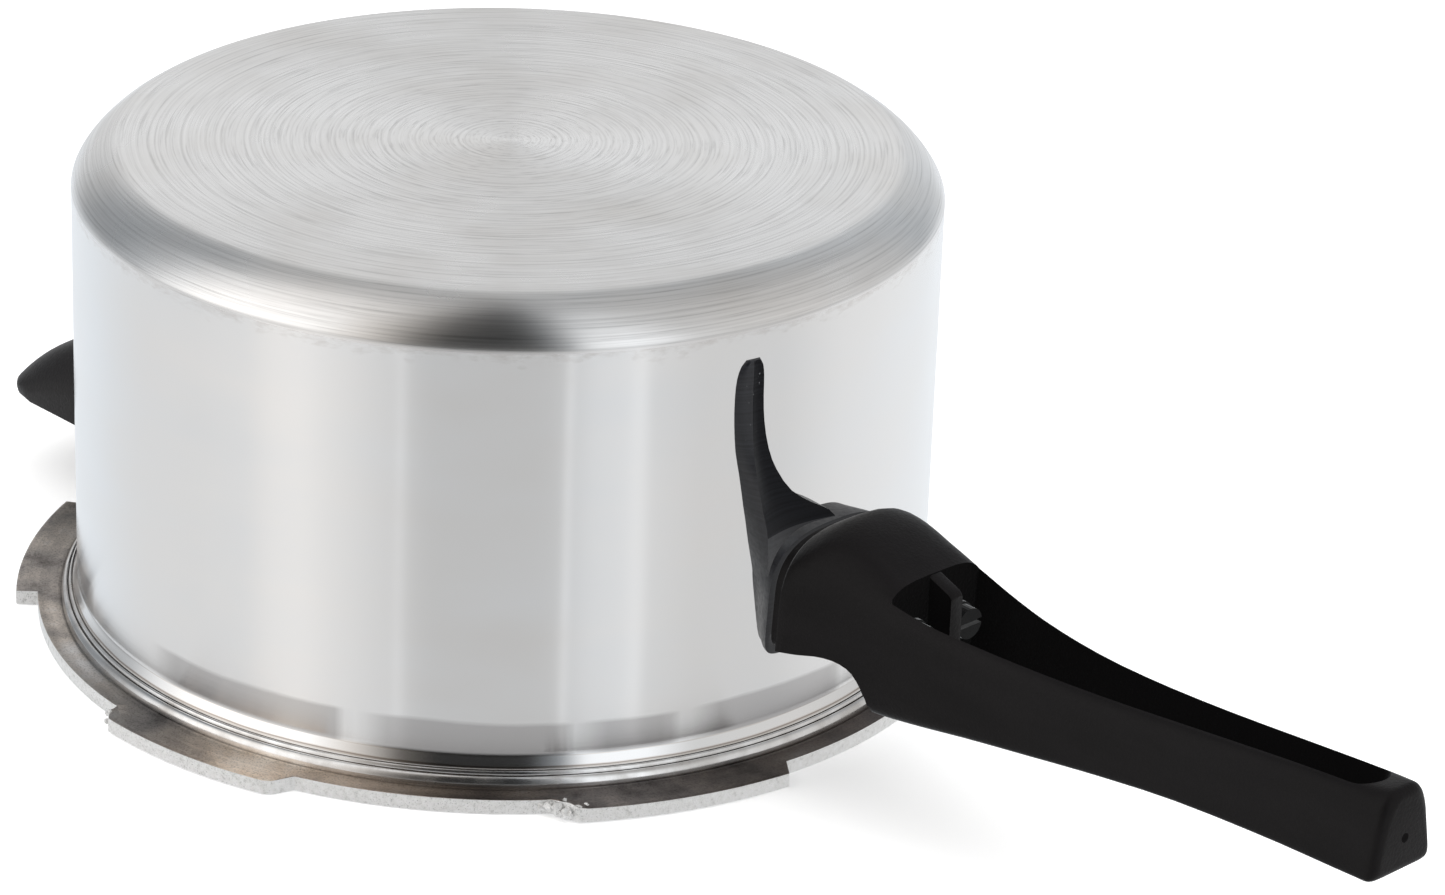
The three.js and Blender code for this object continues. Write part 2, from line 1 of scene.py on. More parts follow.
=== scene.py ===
"""Body of a stovetop pressure cooker, upside down on its rim.

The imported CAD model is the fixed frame. Metres, +Z up, the long handle along +X. Tables of sizes
are in millimetres, and heights in them count from the rim face that the pan stands on.
"""

import math

import bmesh
import bpy
from mathutils import Matrix, Vector


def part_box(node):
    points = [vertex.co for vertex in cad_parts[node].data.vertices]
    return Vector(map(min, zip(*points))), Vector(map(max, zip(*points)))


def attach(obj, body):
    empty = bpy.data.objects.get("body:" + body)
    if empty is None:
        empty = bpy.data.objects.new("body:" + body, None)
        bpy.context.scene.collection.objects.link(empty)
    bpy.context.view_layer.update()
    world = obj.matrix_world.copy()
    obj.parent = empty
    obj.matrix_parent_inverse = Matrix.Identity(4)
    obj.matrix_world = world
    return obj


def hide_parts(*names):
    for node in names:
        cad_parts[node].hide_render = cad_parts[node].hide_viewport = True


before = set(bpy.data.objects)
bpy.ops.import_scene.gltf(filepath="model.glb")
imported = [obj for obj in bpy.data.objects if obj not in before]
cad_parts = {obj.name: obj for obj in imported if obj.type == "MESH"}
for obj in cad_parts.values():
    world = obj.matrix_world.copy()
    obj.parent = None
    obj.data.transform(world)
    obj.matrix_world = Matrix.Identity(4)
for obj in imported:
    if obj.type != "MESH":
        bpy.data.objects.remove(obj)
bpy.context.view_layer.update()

MM = 0.001
pan_low, pan_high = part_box("pan")
rim_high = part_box("locking_rim")[1]
handle_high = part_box("main_handle")[1]
guard_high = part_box("flame_guard")[1]
helper_low, helper_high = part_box("helper_handle")

RADIUS = pan_high.x / MM  # outside of the straight wall
RIM_Z = pan_low.z
HEIGHT = round(-RIM_Z / MM, 3)
PAN_WALL = 3.2
BASE_WALL = 3.6
SHOULDER_RUN = 10.9
SHOULDER_RISE = 10.3
SHOULDER_POWER = 1.39  # 1 is a chamfer, 2 is a round
FLANGE = 9.8  # reach of the flange beyond the wall
LUG_RADIUS = rim_high.y / MM
CLEARANCE = 0.3  # between the wall and what stands against it
LIP = guard_high.x / MM  # the guard's open lip
GROOVE = 2.6  # from the lip to the root face of the long handle
ROOT = LIP + GROOVE
TIP = handle_high.x / MM


def above(height):
    """Z in metres of a height in millimetres above the rim face."""
    return RIM_Z + height * MM


def lerp(a, b, t):
    return a + (b - a) * t


def smooth(t):
    t = min(1.0, max(0.0, t))
    return t * t * (3 - 2 * t)


def curved(table, x):
    """The row of a table at x, its first column, on a smooth curve through the rows."""
    if x <= table[0][0]:
        return table[0][1:]
    if x >= table[-1][0]:
        return table[-1][1:]
    i = max(k for k in range(len(table) - 1) if table[k][0] <= x)
    before, after = table[max(0, i - 1)], table[min(len(table) - 1, i + 2)]
    a, b = table[i], table[i + 1]
    span = b[0] - a[0]
    t = (x - a[0]) / span
    row = []
    for k in range(1, len(a)):
        slope_a = (b[k] - before[k]) / (b[0] - before[0]) * span
        slope_b = (after[k] - a[k]) / (after[0] - a[0]) * span
        row.append(
            (2 * t**3 - 3 * t**2 + 1) * a[k]
            + (t**3 - 2 * t**2 + t) * slope_a
            + (3 * t**2 - 2 * t**3) * b[k]
            + (t**3 - t**2) * slope_b
        )
    return tuple(row)


# ---- materials ------------------------------------------------------------------------------


def principled(name, color, roughness, metallic=0.0, **sockets):
    material = bpy.data.materials.new(name)
    material.use_nodes = True
    shader = material.node_tree.nodes["Principled BSDF"]
    shader.inputs["Base Color"].default_value = (*color, 1)
    shader.inputs["Roughness"].default_value = roughness
    shader.inputs["Metallic"].default_value = metallic
    for socket, value in sockets.items():
        shader.inputs[socket.replace("_", " ")].default_value = value
    return material


def node(material, kind, inputs=(), **settings):
    made = material.node_tree.nodes.new("ShaderNode" + kind)
    for name, value in settings.items():
        setattr(made, name, value)
    for name, value in dict(inputs).items():
        if hasattr(value, "is_linked"):
            material.node_tree.links.new(value, made.inputs[name])
        else:
            made.inputs[name].default_value = value
    return made


def to_shader(material, socket, output):
    shader = material.node_tree.nodes["Principled BSDF"]
    material.node_tree.links.new(output, shader.inputs[socket])


def place(material):
    return node(material, "TexCoord").outputs["Object"]


def stretched(material, scale):
    mapping = node(material, "Mapping", {"Vector": place(material), "Scale": scale})
    return mapping.outputs["Vector"]


def noise(material, vector, scale, detail=3.0, roughness=0.5):
    return node(
        material,
        "TexNoise",
        {"Vector": vector, "Scale": scale, "Detail": detail, "Roughness": roughness},
    ).outputs["Fac"]


def ramp(material, value, stops):
    made = node(material, "ValToRGB", {"Fac": value})
    elements = made.color_ramp.elements
    while len(elements) < len(stops):
        elements.new(0.5)
    for element, (position, color) in zip(elements, stops):
        element.position = position
        element.color = (*color, 1) if len(color) == 3 else color
    return made.outputs["Color"]


def grey(value):
    return (value, value, value)


def math_of(material, operation, a, b=0.0, c=0.0):
    return node(material, "Math", {0: a, 1: b, 2: c}, operation=operation).outputs[0]


def beyond(material, value, start, rate):
    """How far a value is past its start, times a rate."""
    return math_of(material, "MULTIPLY", math_of(material, "SUBTRACT", value, start), rate)


def parts_of(material, vector):
    return node(material, "SeparateXYZ", {"Vector": vector}).outputs


def compass_of(material, parts):
    return math_of(material, "ARCTAN2", parts["Y"], parts["X"])


def compass_share(material, parts):
    """Compass angle, from -180 to 180 degrees, as a share from 0 to 1 for a ramp."""
    return math_of(material, "MULTIPLY_ADD", compass_of(material, parts), 1 / math.tau, 0.5)


def share_of_turn(degrees):
    return (degrees + 180) / 360


def mixed(material, factor, a, b, blend="MIX"):
    made = node(material, "Mix", data_type="RGBA", blend_type=blend)
    for name, value in {"Factor": factor, "A": a, "B": b}.items():
        sockets = [s for s in made.inputs if s.name == name and s.enabled]
        if hasattr(value, "is_linked"):
            material.node_tree.links.new(value, sockets[0])
        else:
            sockets[0].default_value = value if name == "Factor" else (*value, 1)
    return [s for s in made.outputs if s.enabled][0]


def bump(material, height, strength, distance, below=None):
    inputs = {"Height": height, "Strength": strength, "Distance": distance}
    if below is not None:
        inputs["Normal"] = below
    return node(material, "Bump", inputs).outputs["Normal"]


def distance_from_axis(material):
    parts = parts_of(material, place(material))
    x2 = math_of(material, "MULTIPLY", parts["X"], parts["X"])
    y2 = math_of(material, "MULTIPLY", parts["Y"], parts["Y"])
    return math_of(material, "SQRT", math_of(material, "ADD", x2, y2))


def line_noise(material, position, scale, detail=2.0):
    """Noise that varies along one number only, for turned or drawn lines."""
    return node(
        material,
        "TexNoise",
        {"W": position, "Scale": scale, "Detail": detail},
        noise_dimensions="1D",
    ).outputs["Fac"]


ACROSS = 0.25  # quarter turn: turned metal spreads its reflections across the lathe's lines


def turned_metal(name, color, roughness, anisotropic, rotation=ACROSS):
    made = principled(
        name, color, roughness, 1.0, Anisotropic=anisotropic, Anisotropic_Rotation=rotation
    )
    tangent = node(made, "Tangent", direction_type="RADIAL", axis="Z")
    to_shader(made, "Tangent", tangent.outputs["Tangent"])
    return made


# Compass angles between which a dark reflection is painted on the foot of the wall.
PAINTED_REFLECTION_SPANS = [
    (-140, -112), (-91, -62.4), (-57.5, -33.1), (-30.4, -19.2), (-14.7, 7.6), (30, 62), (96, 130),
]


def painted_foot_reflection(material, parts, smear):
    """1 where a dark reflection is painted on the foot of the wall, with an uneven upper edge."""
    stops = []
    for start, end in PAINTED_REFLECTION_SPANS:
        stops += [(start - 2.4, 0), (start + 2.0, 1), (end - 0.9, 1), (end + 0.7, 0)]
    stops = [(share_of_turn(angle), grey(value)) for angle, value in stops]
    spans = ramp(material, compass_share(material, parts), stops)
    up = beyond(material, parts["Z"], above(10.0), 70.0)
    up = math_of(material, "ADD", up, math_of(material, "MULTIPLY", smear, 0.25))
    band = ramp(material, up, [(0.10, grey(1)), (0.66, grey(0.8)), (0.74, grey(0))])
    return mixed(material, 1.0, spans, band, "MULTIPLY")


def polished_wall_finish():
    """Mirror polish, faintly smeared, scuffed brown near the shoulder, with a painted dark
    reflection at its foot.
    """
    made = turned_metal("polished_aluminium_wall", (0.93, 0.935, 0.94), 0.19, 1.0)
    parts = parts_of(made, place(made))
    smear = noise(made, stretched(made, (9, 9, 26)), 2.2, 4)
    tint = ramp(made, smear, [(0.3, (0.93, 0.94, 0.95)), (0.7, (0.955, 0.95, 0.945))])
    scuffs = noise(made, stretched(made, (190, 190, 460)), 1.0, 6, 0.7)
    near_shoulder = beyond(made, parts["Z"], above(107.5), 55.0)
    worn = math_of(made, "ADD", scuffs, near_shoulder)
    worn = ramp(made, worn, [(0.58, grey(0)), (0.95, grey(1))])
    tint = mixed(made, math_of(made, "MULTIPLY", worn, 0.45), tint, (0.50, 0.44, 0.40))
    # Painted reflection: the foot of the wall is darkened in the listed compass spans.
    foot_reflection = painted_foot_reflection(made, parts, smear)
    tint = mixed(made, math_of(made, "MULTIPLY", foot_reflection, 0.75), tint, (0.44, 0.43, 0.43))
    to_shader(made, "Base Color", tint)
    to_shader(made, "Roughness", ramp(made, smear, [(0.25, grey(0.17)), (0.75, grey(0.21))]))
    turned = noise(made, stretched(made, (6, 6, 1500)), 1.0, 3)
    waves = noise(made, stretched(made, (14, 14, 5)), 2.0, 1)
    normal = bump(made, turned, 0.05, 0.0002)
    to_shader(made, "Normal", bump(made, waves, 0.05, 0.004, normal))
    return made


def spun_base_finish():
    """Base and shoulder: turned rings, broken brush strokes along them, and faint stains."""
    made = turned_metal("spun_aluminium_base", (0.9, 0.9, 0.9), 0.34, 0.9)
    parts = parts_of(made, place(made))
    along = math_of(made, "SUBTRACT", distance_from_axis(made), parts["Z"])
    rings = line_noise(made, along, 1150, 4)
    tone = ramp(made, rings, [(0.3, grey(0.83)), (0.5, grey(0.95)), (0.75, grey(1.0))])
    wide_rings = line_noise(made, along, 330, 3)
    worn = ramp(made, wide_rings, [(0.3, grey(0.91)), (0.7, grey(1.0))])
    patches = noise(made, place(made), 17, 3)
    sectors = ramp(made, patches, [(0.38, grey(0.05)), (0.62, grey(0.6))])
    tone = mixed(made, sectors, tone, worn, "MULTIPLY")
    unrolled = node(
        made,
        "CombineXYZ",
        {"X": compass_of(made, parts), "Y": math_of(made, "MULTIPLY", along, 420.0)},
    )
    strokes = noise(made, unrolled.outputs["Vector"], 3.2, 5, 0.62)
    brushed = ramp(made, strokes, [(0.36, grey(0.74)), (0.46, grey(0.95)), (0.60, grey(1.0))])
    tone = mixed(made, 0.75, tone, brushed, "MULTIPLY")
    clouds = noise(made, place(made), 28, 4)
    stain = ramp(made, clouds, [(0.42, (1, 1, 1)), (0.75, (0.92, 0.90, 0.875))])
    to_shader(made, "Base Color", mixed(made, 0.8, tone, stain, "MULTIPLY"))
    to_shader(made, "Roughness", ramp(made, clouds, [(0.3, grey(0.25)), (0.7, grey(0.31))]))
    fine = bump(made, rings, 0.05, 0.0002)
    scratches = noise(made, stretched(made, (5, 700, 700)), 1.0, 2)
    thin = ramp(made, scratches, [(0.70, grey(0)), (0.80, grey(1))])
    to_shader(made, "Normal", bump(made, thin, 0.01, 0.0002, fine))
    return made


def flare_finish():
    """The turned flare between wall and rim, bright with dark lines left by the lathe."""
    made = turned_metal("turned_flare", (0.86, 0.85, 0.84), 0.17, 0.8)
    height = parts_of(made, place(made))["Z"]
    patches = math_of(made, "MULTIPLY", noise(made, place(made), 14, 4), 0.0016)
    lines = line_noise(made, math_of(made, "ADD", height, patches), 620, 2)
    dark, brown = (0.24, 0.20, 0.18), (0.70, 0.66, 0.62)
    tone = ramp(made, lines, [(0.30, dark), (0.38, brown), (0.48, grey(0.93))])
    to_shader(made, "Base Color", tone)
    return made


# Compass angle and tint in the rim's channel: brown polishing stain, with painted highlights where
# the tint rises above 1 and painted shade where it falls low.
STAIN_AND_PAINTED_REFLECTION = [
    (-160, (1.0, 1.0, 1.0)), (-125, (1.15, 1.12, 1.1)), (-105, (0.95, 0.94, 0.94)),
    (-88, (0.55, 0.55, 0.56)), (-72, (1.25, 1.12, 0.98)), (-60, (0.85, 0.76, 0.68)),
    (-45, (0.48, 0.43, 0.40)), (-28, (0.50, 0.48, 0.48)), (-12, (0.22, 0.20, 0.19)),
    (14, (0.20, 0.18, 0.18)), (40, (0.8, 0.78, 0.76)), (90, (0.6, 0.58, 0.56)),
    (140, (0.9, 0.88, 0.86)),
]
CHANNEL_FROM = 3.7  # the channel's inner corner, beyond the wall; nearer the wall the grooves get painted shade


def stained_rim_finish():
    """Top of the locking rim: dull, with brown polishing stain left in the channel, painted
    highlights and shade by compass angle, and painted shade in its grooves.
    """
    made = principled("stained_rim", (0.5, 0.46, 0.42), 0.36, 1.0)
    radius = distance_from_axis(made)
    streaks = noise(made, place(made), 34, 7, 0.66)
    stops = [(0.32, (0.16, 0.145, 0.135)), (0.42, (0.44, 0.41, 0.39))]
    stops += [(0.54, (0.72, 0.66, 0.60)), (0.66, (0.82, 0.81, 0.80))]
    tone = ramp(made, streaks, stops)
    drawn = line_noise(made, radius, 900, 3)
    lines = ramp(made, drawn, [(0.3, grey(0.6)), (0.7, grey(1))])
    tone = mixed(made, 0.5, tone, lines, "MULTIPLY")
    to_shader(made, "Roughness", ramp(made, streaks, [(0.3, grey(0.48)), (0.7, grey(0.28))]))
    grain = noise(made, place(made), 2000, 3, 0.7)
    dirt_and_painted_light = ramp(made, grain, [(0.36, grey(0.6)), (0.5, grey(1))])
    # Brown stain tint by compass angle, partly painted highlight and painted shade.
    share = compass_share(made, parts_of(made, place(made)))
    stain_and_painted_reflection = ramp(made, share, [(share_of_turn(angle), tint) for angle, tint in STAIN_AND_PAINTED_REFLECTION])
    dirt_and_painted_light = mixed(made, 1.0, dirt_and_painted_light, stain_and_painted_reflection, "MULTIPLY")
    # Painted shade: the rim faces in the grooves nearer the wall than this are darkened.
    inner = beyond(made, radius, (RADIUS + CHANNEL_FROM) * MM, 500.0)
    inner = ramp(made, inner, [(0.0, grey(0.22)), (0.45, grey(0.8)), (0.9, grey(1))])
    dirt_and_painted_light = mixed(made, 1.0, dirt_and_painted_light, inner, "MULTIPLY")
    to_shader(made, "Base Color", mixed(made, 1.0, tone, dirt_and_painted_light, "MULTIPLY"))
    normal = bump(made, grain, 0.25, 0.0003)
    to_shader(made, "Normal", bump(made, drawn, 0.12, 0.0003, normal))
    return made


def bright_bead_finish():
    """The turned beads round the rim, bright where they were rubbed."""
    made = principled("bright_rim_bead", (0.84, 0.83, 0.82), 0.17, 1.0)
    marks = noise(made, place(made), 140, 5)
    tone = ramp(made, marks, [(0.3, (0.66, 0.64, 0.62)), (0.65, (0.9, 0.9, 0.9))])
    to_shader(made, "Base Color", tone)
    to_shader(made, "Roughness", ramp(made, marks, [(0.3, grey(0.3)), (0.7, grey(0.12))]))
    return made


def raw_edge_finish():
    """Cut side of the flange and lugs, pale and granular."""
    made = principled("raw_cut_edge", (0.78, 0.78, 0.77), 0.5, 0.85)
    grains = noise(made, place(made), 2600, 4, 0.7)
    pits = noise(made, place(made), 800, 4, 0.6)
    pitted, pale = (0.70, 0.70, 0.69), (0.88, 0.88, 0.87)
    tone = ramp(made, pits, [(0.30, pitted), (0.42, pale), (0.7, grey(0.97))])
    speckle = ramp(made, grains, [(0.34, grey(0.35)), (0.44, grey(1))])
    speckled = mixed(made, 1.0, tone, speckle, "MULTIPLY")
    rough_stretches = noise(made, place(made), 11, 1)
    where = ramp(made, rough_stretches, [(0.45, grey(0.1)), (0.6, grey(0.8))])
    to_shader(made, "Base Color", mixed(made, where, tone, speckled))
    normal = bump(made, grains, 0.5, 0.0004)
    to_shader(made, "Normal", bump(made, pits, 0.3, 0.0005, normal))
    return made


def inside_finish():
    """Drawn metal inside the pan and under the rim's mouth."""
    made = turned_metal("drawn_inside", (0.8, 0.8, 0.8), 0.3, 0.5, rotation=0.0)
    turned = noise(made, stretched(made, (6, 6, 900)), 1.0, 3)
    clouds = noise(made, place(made), 20, 4)
    tone = ramp(made, clouds, [(0.3, grey(0.72)), (0.7, (0.86, 0.86, 0.87))])
    to_shader(made, "Base Color", tone)
    to_shader(made, "Normal", bump(made, turned, 0.1, 0.0002))
    return made


def phenolic_finish(name, depth, gloss):
    """Satin moulded black, with a fine grain; depth makes it paler, gloss shinier."""
    made = principled(name, (0.006, 0.0055, 0.006), 0.42, Specular_IOR_Level=gloss)
    flow = noise(made, stretched(made, (14, 60, 60)), 1.0, 5, 0.6)
    tone = ramp(made, flow, [(0.3, (0.0045, 0.004, 0.0042)), (0.7, (0.0085, 0.0075, 0.008))])
    to_shader(made, "Base Color", mixed(made, 1.0, tone, grey(depth), "MULTIPLY"))
    grain = noise(made, place(made), 1300, 3, 0.6)
    smooth_flow = ramp(made, flow, [(0.3, grey(0.37)), (0.7, grey(0.50))])
    rough_grain = ramp(made, grain, [(0.3, grey(0.34)), (0.7, grey(0.52))])
    to_shader(made, "Roughness", mixed(made, 0.5, smooth_flow, rough_grain))
    orange_peel = noise(made, place(made), 260, 2)
    normal = bump(made, grain, 0.3, 0.0003)
    to_shader(made, "Normal", bump(made, orange_peel, 0.10, 0.0006, normal))
    return made


def guard_finish(name, depth, gloss):
    """Grey-black lacquer with fine drawn lines and pale specks towards the fin's tip."""
    made = principled(name, (0.01, 0.011, 0.013), 0.38, Specular_IOR_Level=gloss)
    height = parts_of(made, place(made))["Z"]
    lines = line_noise(made, height, 1500, 2)
    tone = ramp(made, lines, [(0.35, (0.006, 0.0065, 0.009)), (0.7, (0.013, 0.014, 0.018))])
    tone = mixed(made, 1.0, tone, grey(depth), "MULTIPLY")
    specks = noise(made, place(made), 1100, 2)
    speck = ramp(made, specks, [(0.70, grey(0)), (0.73, grey(1))])
    up = beyond(made, height, above(70), 28.0)
    near_tip = ramp(made, up, [(0.1, grey(0)), (0.8, grey(1))])
    amount = math_of(made, "MULTIPLY", math_of(made, "MULTIPLY", speck, near_tip), 0.6)
    to_shader(made, "Base Color", mixed(made, amount, tone, (0.22, 0.23, 0.24)))
    grain = noise(made, place(made), 900, 3)
    to_shader(made, "Roughness", ramp(made, grain, [(0.3, grey(0.30)), (0.7, grey(0.46))]))
    normal = bump(made, lines, 0.12, 0.0002)
    to_shader(made, "Normal", bump(made, grain, 0.08, 0.0002, normal))
    return made


def zinc_finish(name, depth):
    """Plated steel with a fine spangle; a small depth darkens it."""
    made = principled(name, (0.62, 0.63, 0.64), 0.32, 1.0)
    spangle = noise(made, place(made), 420, 4)
    tone = ramp(made, spangle, [(0.3, (0.48, 0.49, 0.50)), (0.7, (0.72, 0.73, 0.74))])
    to_shader(made, "Base Color", mixed(made, 1.0, tone, grey(depth), "MULTIPLY"))
    to_shader(made, "Roughness", ramp(made, spangle, [(0.3, grey(0.42)), (0.7, grey(0.24))]))
    to_shader(made, "Normal", bump(made, spangle, 0.08, 0.0002))
    return made


def rivet_finish():
    made = principled("headed_aluminium", (0.8, 0.81, 0.82), 0.3, 1.0)
    marks = noise(made, place(made), 380, 4)
    tone = ramp(made, marks, [(0.3, (0.66, 0.67, 0.68)), (0.7, (0.86, 0.87, 0.88))])
    to_shader(made, "Base Color", tone)
    to_shader(made, "Roughness", ramp(made, marks, [(0.3, grey(0.4)), (0.7, grey(0.2))]))
    to_shader(made, "Normal", bump(made, marks, 0.12, 0.0003))
    return made


wall_metal = polished_wall_finish()
base_metal = spun_base_finish()
flare_metal = flare_finish()
rim_metal = stained_rim_finish()
bead_metal = bright_bead_finish()
edge_metal = raw_edge_finish()
inside_metal = inside_finish()
phenolic = phenolic_finish("black_phenolic", 0.85, 0.11)
# A much darker, nearly unglossy copy of the phenolic: painted shade in the slot, its screw pockets
# and on the rib's sides; the gate mark takes it too.
phenolic_painted_shade = phenolic_finish("black_phenolic_painted_shade", 0.3, 0.02)
helper_phenolic = phenolic_finish("black_phenolic_helper", 1.4, 0.2)
lacquer = guard_finish("grey_black_lacquer", 1.0, 0.5)
# A darker, less shiny copy of the lacquer: painted shade on the fin's hollow front face.
lacquer_painted_shade = guard_finish("lacquer_with_painted_shade", 0.5, 0.12)
zinc = zinc_finish("zinc_plated_steel", 1.0)
# A nearly black copy of the plated steel: painted shade on the screws and washers.
screw_steel_painted_shade = zinc_finish("screw_steel_with_painted_shade", 0.02)
rivet_metal = rivet_finish()


# ---- making pieces ----------------------------------------------------------------------------


def piece(name, bm, materials, stands_for, sharp=35.0):
    bmesh.ops.remove_doubles(bm, verts=bm.verts, dist=1e-6)
    bmesh.ops.recalc_face_normals(bm, faces=bm.faces)
    mesh = bpy.data.meshes.new(name)
    bm.to_mesh(mesh)
    bm.free()
    for material in materials:
        mesh.materials.append(material)
    mesh.shade_smooth()
    mesh.set_sharp_from_angle(angle=math.radians(sharp))
    made = bpy.data.objects.new(name, mesh)
    bpy.context.scene.collection.objects.link(made)
    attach(made, "root")
    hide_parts(*stands_for)
    return made


def skin(bm, rows, columns, at, caps=True, paint=None):
    """Rows of points, each closed into a ring of columns: at(row, column) in metres.

    paint(row, column) gives the material slot of the face that starts there.
    """
    made = bmesh.ops.create_grid(bm, x_segments=columns, y_segments=rows - 1, size=0.5)
    verts = made["verts"]
    spot = {}
    for v in verts:
        column = round((v.co.x + 0.5) * columns) % columns
        spot[v] = (round((v.co.y + 0.5) * (rows - 1)), column)
    if paint:
        for face in {f for v in verts for f in v.link_faces}:
            row = min(spot[v][0] for v in face.verts)
            around = sorted({spot[v][1] for v in face.verts})
            closes_ring = around[-1] - around[0] > 1
            face.material_index = paint(row, around[-1] if closes_ring else around[0])
    for v, (row, column) in spot.items():
        v.co = at(row, column)
    bmesh.ops.remove_doubles(bm, verts=verts, dist=1e-7)
    if caps:
        open_edges = [e for e in bm.edges if e.is_boundary]
        bmesh.ops.edgeloop_fill(bm, edges=open_edges)


# ---- pan --------------------------------------------------------------------------------------

# Compass angles where each lug starts and ends. Two of them start with metal torn by the press.
LEFT_LUG = (-93.5, -66.3)
NEAR_LUG = (-35.8, -7.5)
LUG_SPANS = [(-153.5, -127.5), LEFT_LUG, NEAR_LUG, (26.5, 52.5), (86.5, 112.5), (146.5, 172.5)]
LUG_FROM = 7.0  # beyond this distance from the wall, the flange stretches out to make the lugs
END_WIDTH = 0.12  # half the angle that a lug's square end takes
NEAR_LUG_SKEW = 1.3  # degrees that the near lug's end leans by, from its foot to its outer edge

# Section of the rim, from the wall outwards: distance from the wall, height above the rim face.
RIM_SECTION = [
    (0.0, 11.2, "wall"),
    (0.0, 10.35, "wall"),
    (0.10, 10.15, "flare"),
    (0.38, 9.4, "flare"),
    (0.72, 8.5, "flare"),
    (1.08, 7.65, "flare"),
    (1.22, 7.30, "flare"),
    (1.22, 6.95, "rim"),
    (1.40, 6.90, "rim"),
    (1.46, 7.02, "bead"),
    (1.70, 7.08, "bead"),
    (1.95, 6.95, "bead"),
    (2.12, 6.65, "bead"),
    (2.16, 6.05, "rim"),
    (2.36, 5.90, "rim"),
    (2.46, 6.08, "bead"),
    (2.80, 6.12, "bead"),
    (3.20, 5.92, "bead"),
    (3.56, 5.50, "bead"),
    (3.82, 4.95, "bead"),
    (3.92, 4.40, "bead"),
    (3.96, 3.70, "rim"),
    (4.14, 3.52, "rim"),
    (4.40, 3.58, "rim"),
    (4.75, 3.68, "rim"),
    (5.40, 3.60, "rim"),
    (6.20, 3.52, "rim"),
    (7.00, 3.50, "rim"),
    (7.80, 3.54, "rim"),
    (8.70, 3.64, "rim"),
    (9.40, 3.78, "rim"),
    (9.62, 3.80, "rim"),
    (9.76, 3.72, "edge"),
    (9.80, 3.55, "edge"),
    (9.80, 1.90, "edge"),
    (9.80, 0.35, "edge"),
    (9.70, 0.10, "edge"),
    (9.45, 0.0, "edge"),
    (7.0, 0.0, "rim"),
]
PAN_FACES = {
    "base": 0, "shoulder": 0, "flare": 1, "wall": 2, "bead": 3, "rim": 4, "edge": 5, "inside": 6,
}
INSIDE_ROUND = 9.0  # round between the inside of the wall and the inside of the base


def shoulder_section(steps):
    """From the base's flat to the wall, along a superellipse."""
    points = []
    for i in range(steps + 1):
        angle = math.radians(90 - 90 * i / steps)
        in_from_wall = SHOULDER_RUN * (1 - math.cos(angle) ** (2 / SHOULDER_POWER))
        down_from_base = SHOULDER_RISE * (1 - math.sin(angle) ** (2 / SHOULDER_POWER))
        points.append((RADIUS - in_from_wall, HEIGHT - down_from_base, "shoulder"))
    return points


def softened(points, passes, first, last):
    """The section with the corner between two of its radii eased round."""
    for _ in range(passes):
        eased = list(points)
        for i in range(1, len(points) - 1):
            r, h, kind = points[i]
            if first < r < last:
                before, after = points[i - 1], points[i + 1]
                half_way = ((before[0] + after[0]) / 2, (before[1] + after[1]) / 2)
                eased[i] = (lerp(r, half_way[0], 0.5), lerp(h, half_way[1], 0.5), kind)
        points = eased
    return points


def pan_section():
    """The whole section from the centre of the base, outside, round the rim and back inside."""
    flat = RADIUS - SHOULDER_RUN
    base = [(r, HEIGHT, "base") for r in (0.0, 10.0)]
    # a faint turned groove round the middle of the base
    base += [(49.4, HEIGHT, "base"), (50.0, HEIGHT - 0.03, "base"), (50.6, HEIGHT, "base")]
    base += [(r, HEIGHT, "base") for r in (60.0, 75.0)]
    base += [(flat - 10 + k, HEIGHT, "base") for k in range(10)]
    outside = softened(base + shoulder_section(22), 5, flat - 6, RADIUS - 6)
    wall = [(RADIUS, h, "wall") for h in (111.0, 95.0, 75.0, 55.0, 35.0, 18.0)]
    rim = [(RADIUS + out, h, kind) for out, h, kind in RIM_SECTION]
    inner = RADIUS - PAN_WALL
    mouth = [(inner + 1.4, 0.0, "rim"), (inner + 0.4, 0.35, "inside"), (inner, 1.4, "inside")]
    inside = [(inner, h, "inside") for h in (30.0, 60.0, 90.0)]
    ceiling = HEIGHT - BASE_WALL
    for i in range(9):
        angle = math.radians(90 * i / 8)
        r = inner - INSIDE_ROUND + INSIDE_ROUND * math.cos(angle)
        inside.append((r, ceiling - INSIDE_ROUND + INSIDE_ROUND * math.sin(angle), "inside"))
    inside += [(r, ceiling, "inside") for r in (60.0, 25.0, 0.0)]
    return outside + wall + rim + mouth + inside


def lug_reach(angle):
    """0 between the lugs, 1 on a lug: two lugs start with a slope, and one ends with one."""
    for span in LUG_SPANS:
        into, left = angle - span[0], span[1] - angle
        if into <= 0 or left <= 0:
            continue
        if span == NEAR_LUG:
            return lerp(0.15, 1.0, min(1.0, into / 2.7))
        if span == LEFT_LUG:
            return min(lerp(0.45, 1.0, min(1.0, into / 1.4)), min(1.0, 0.05 + left / 2.1))
        return 1.0
    return 0.0


def torn_edge(angle, out):
    """Height that the torn starts of two lugs stand up by, in millimetres."""
    if out < LUG_FROM:
        return 0.0
    lift = 1.1 * math.exp(-(((angle + 34.0) / 1.7) ** 2))
    lift += 1.5 * math.exp(-(((angle + 93.0) / 0.7) ** 2))
    return lift * (0.6 + 0.4 * math.sin(angle * 5 + out * 4)) * smooth((out - LUG_FROM) / 2)


def lug_end_angle(angle):
    """The spin's columns either side of a lug's end are drawn together there, for a square end."""
    for span in LUG_SPANS:
        for end in span:
            if abs(angle - end) < 0.75:
                return end + math.copysign(END_WIDTH, angle - end)
    return angle


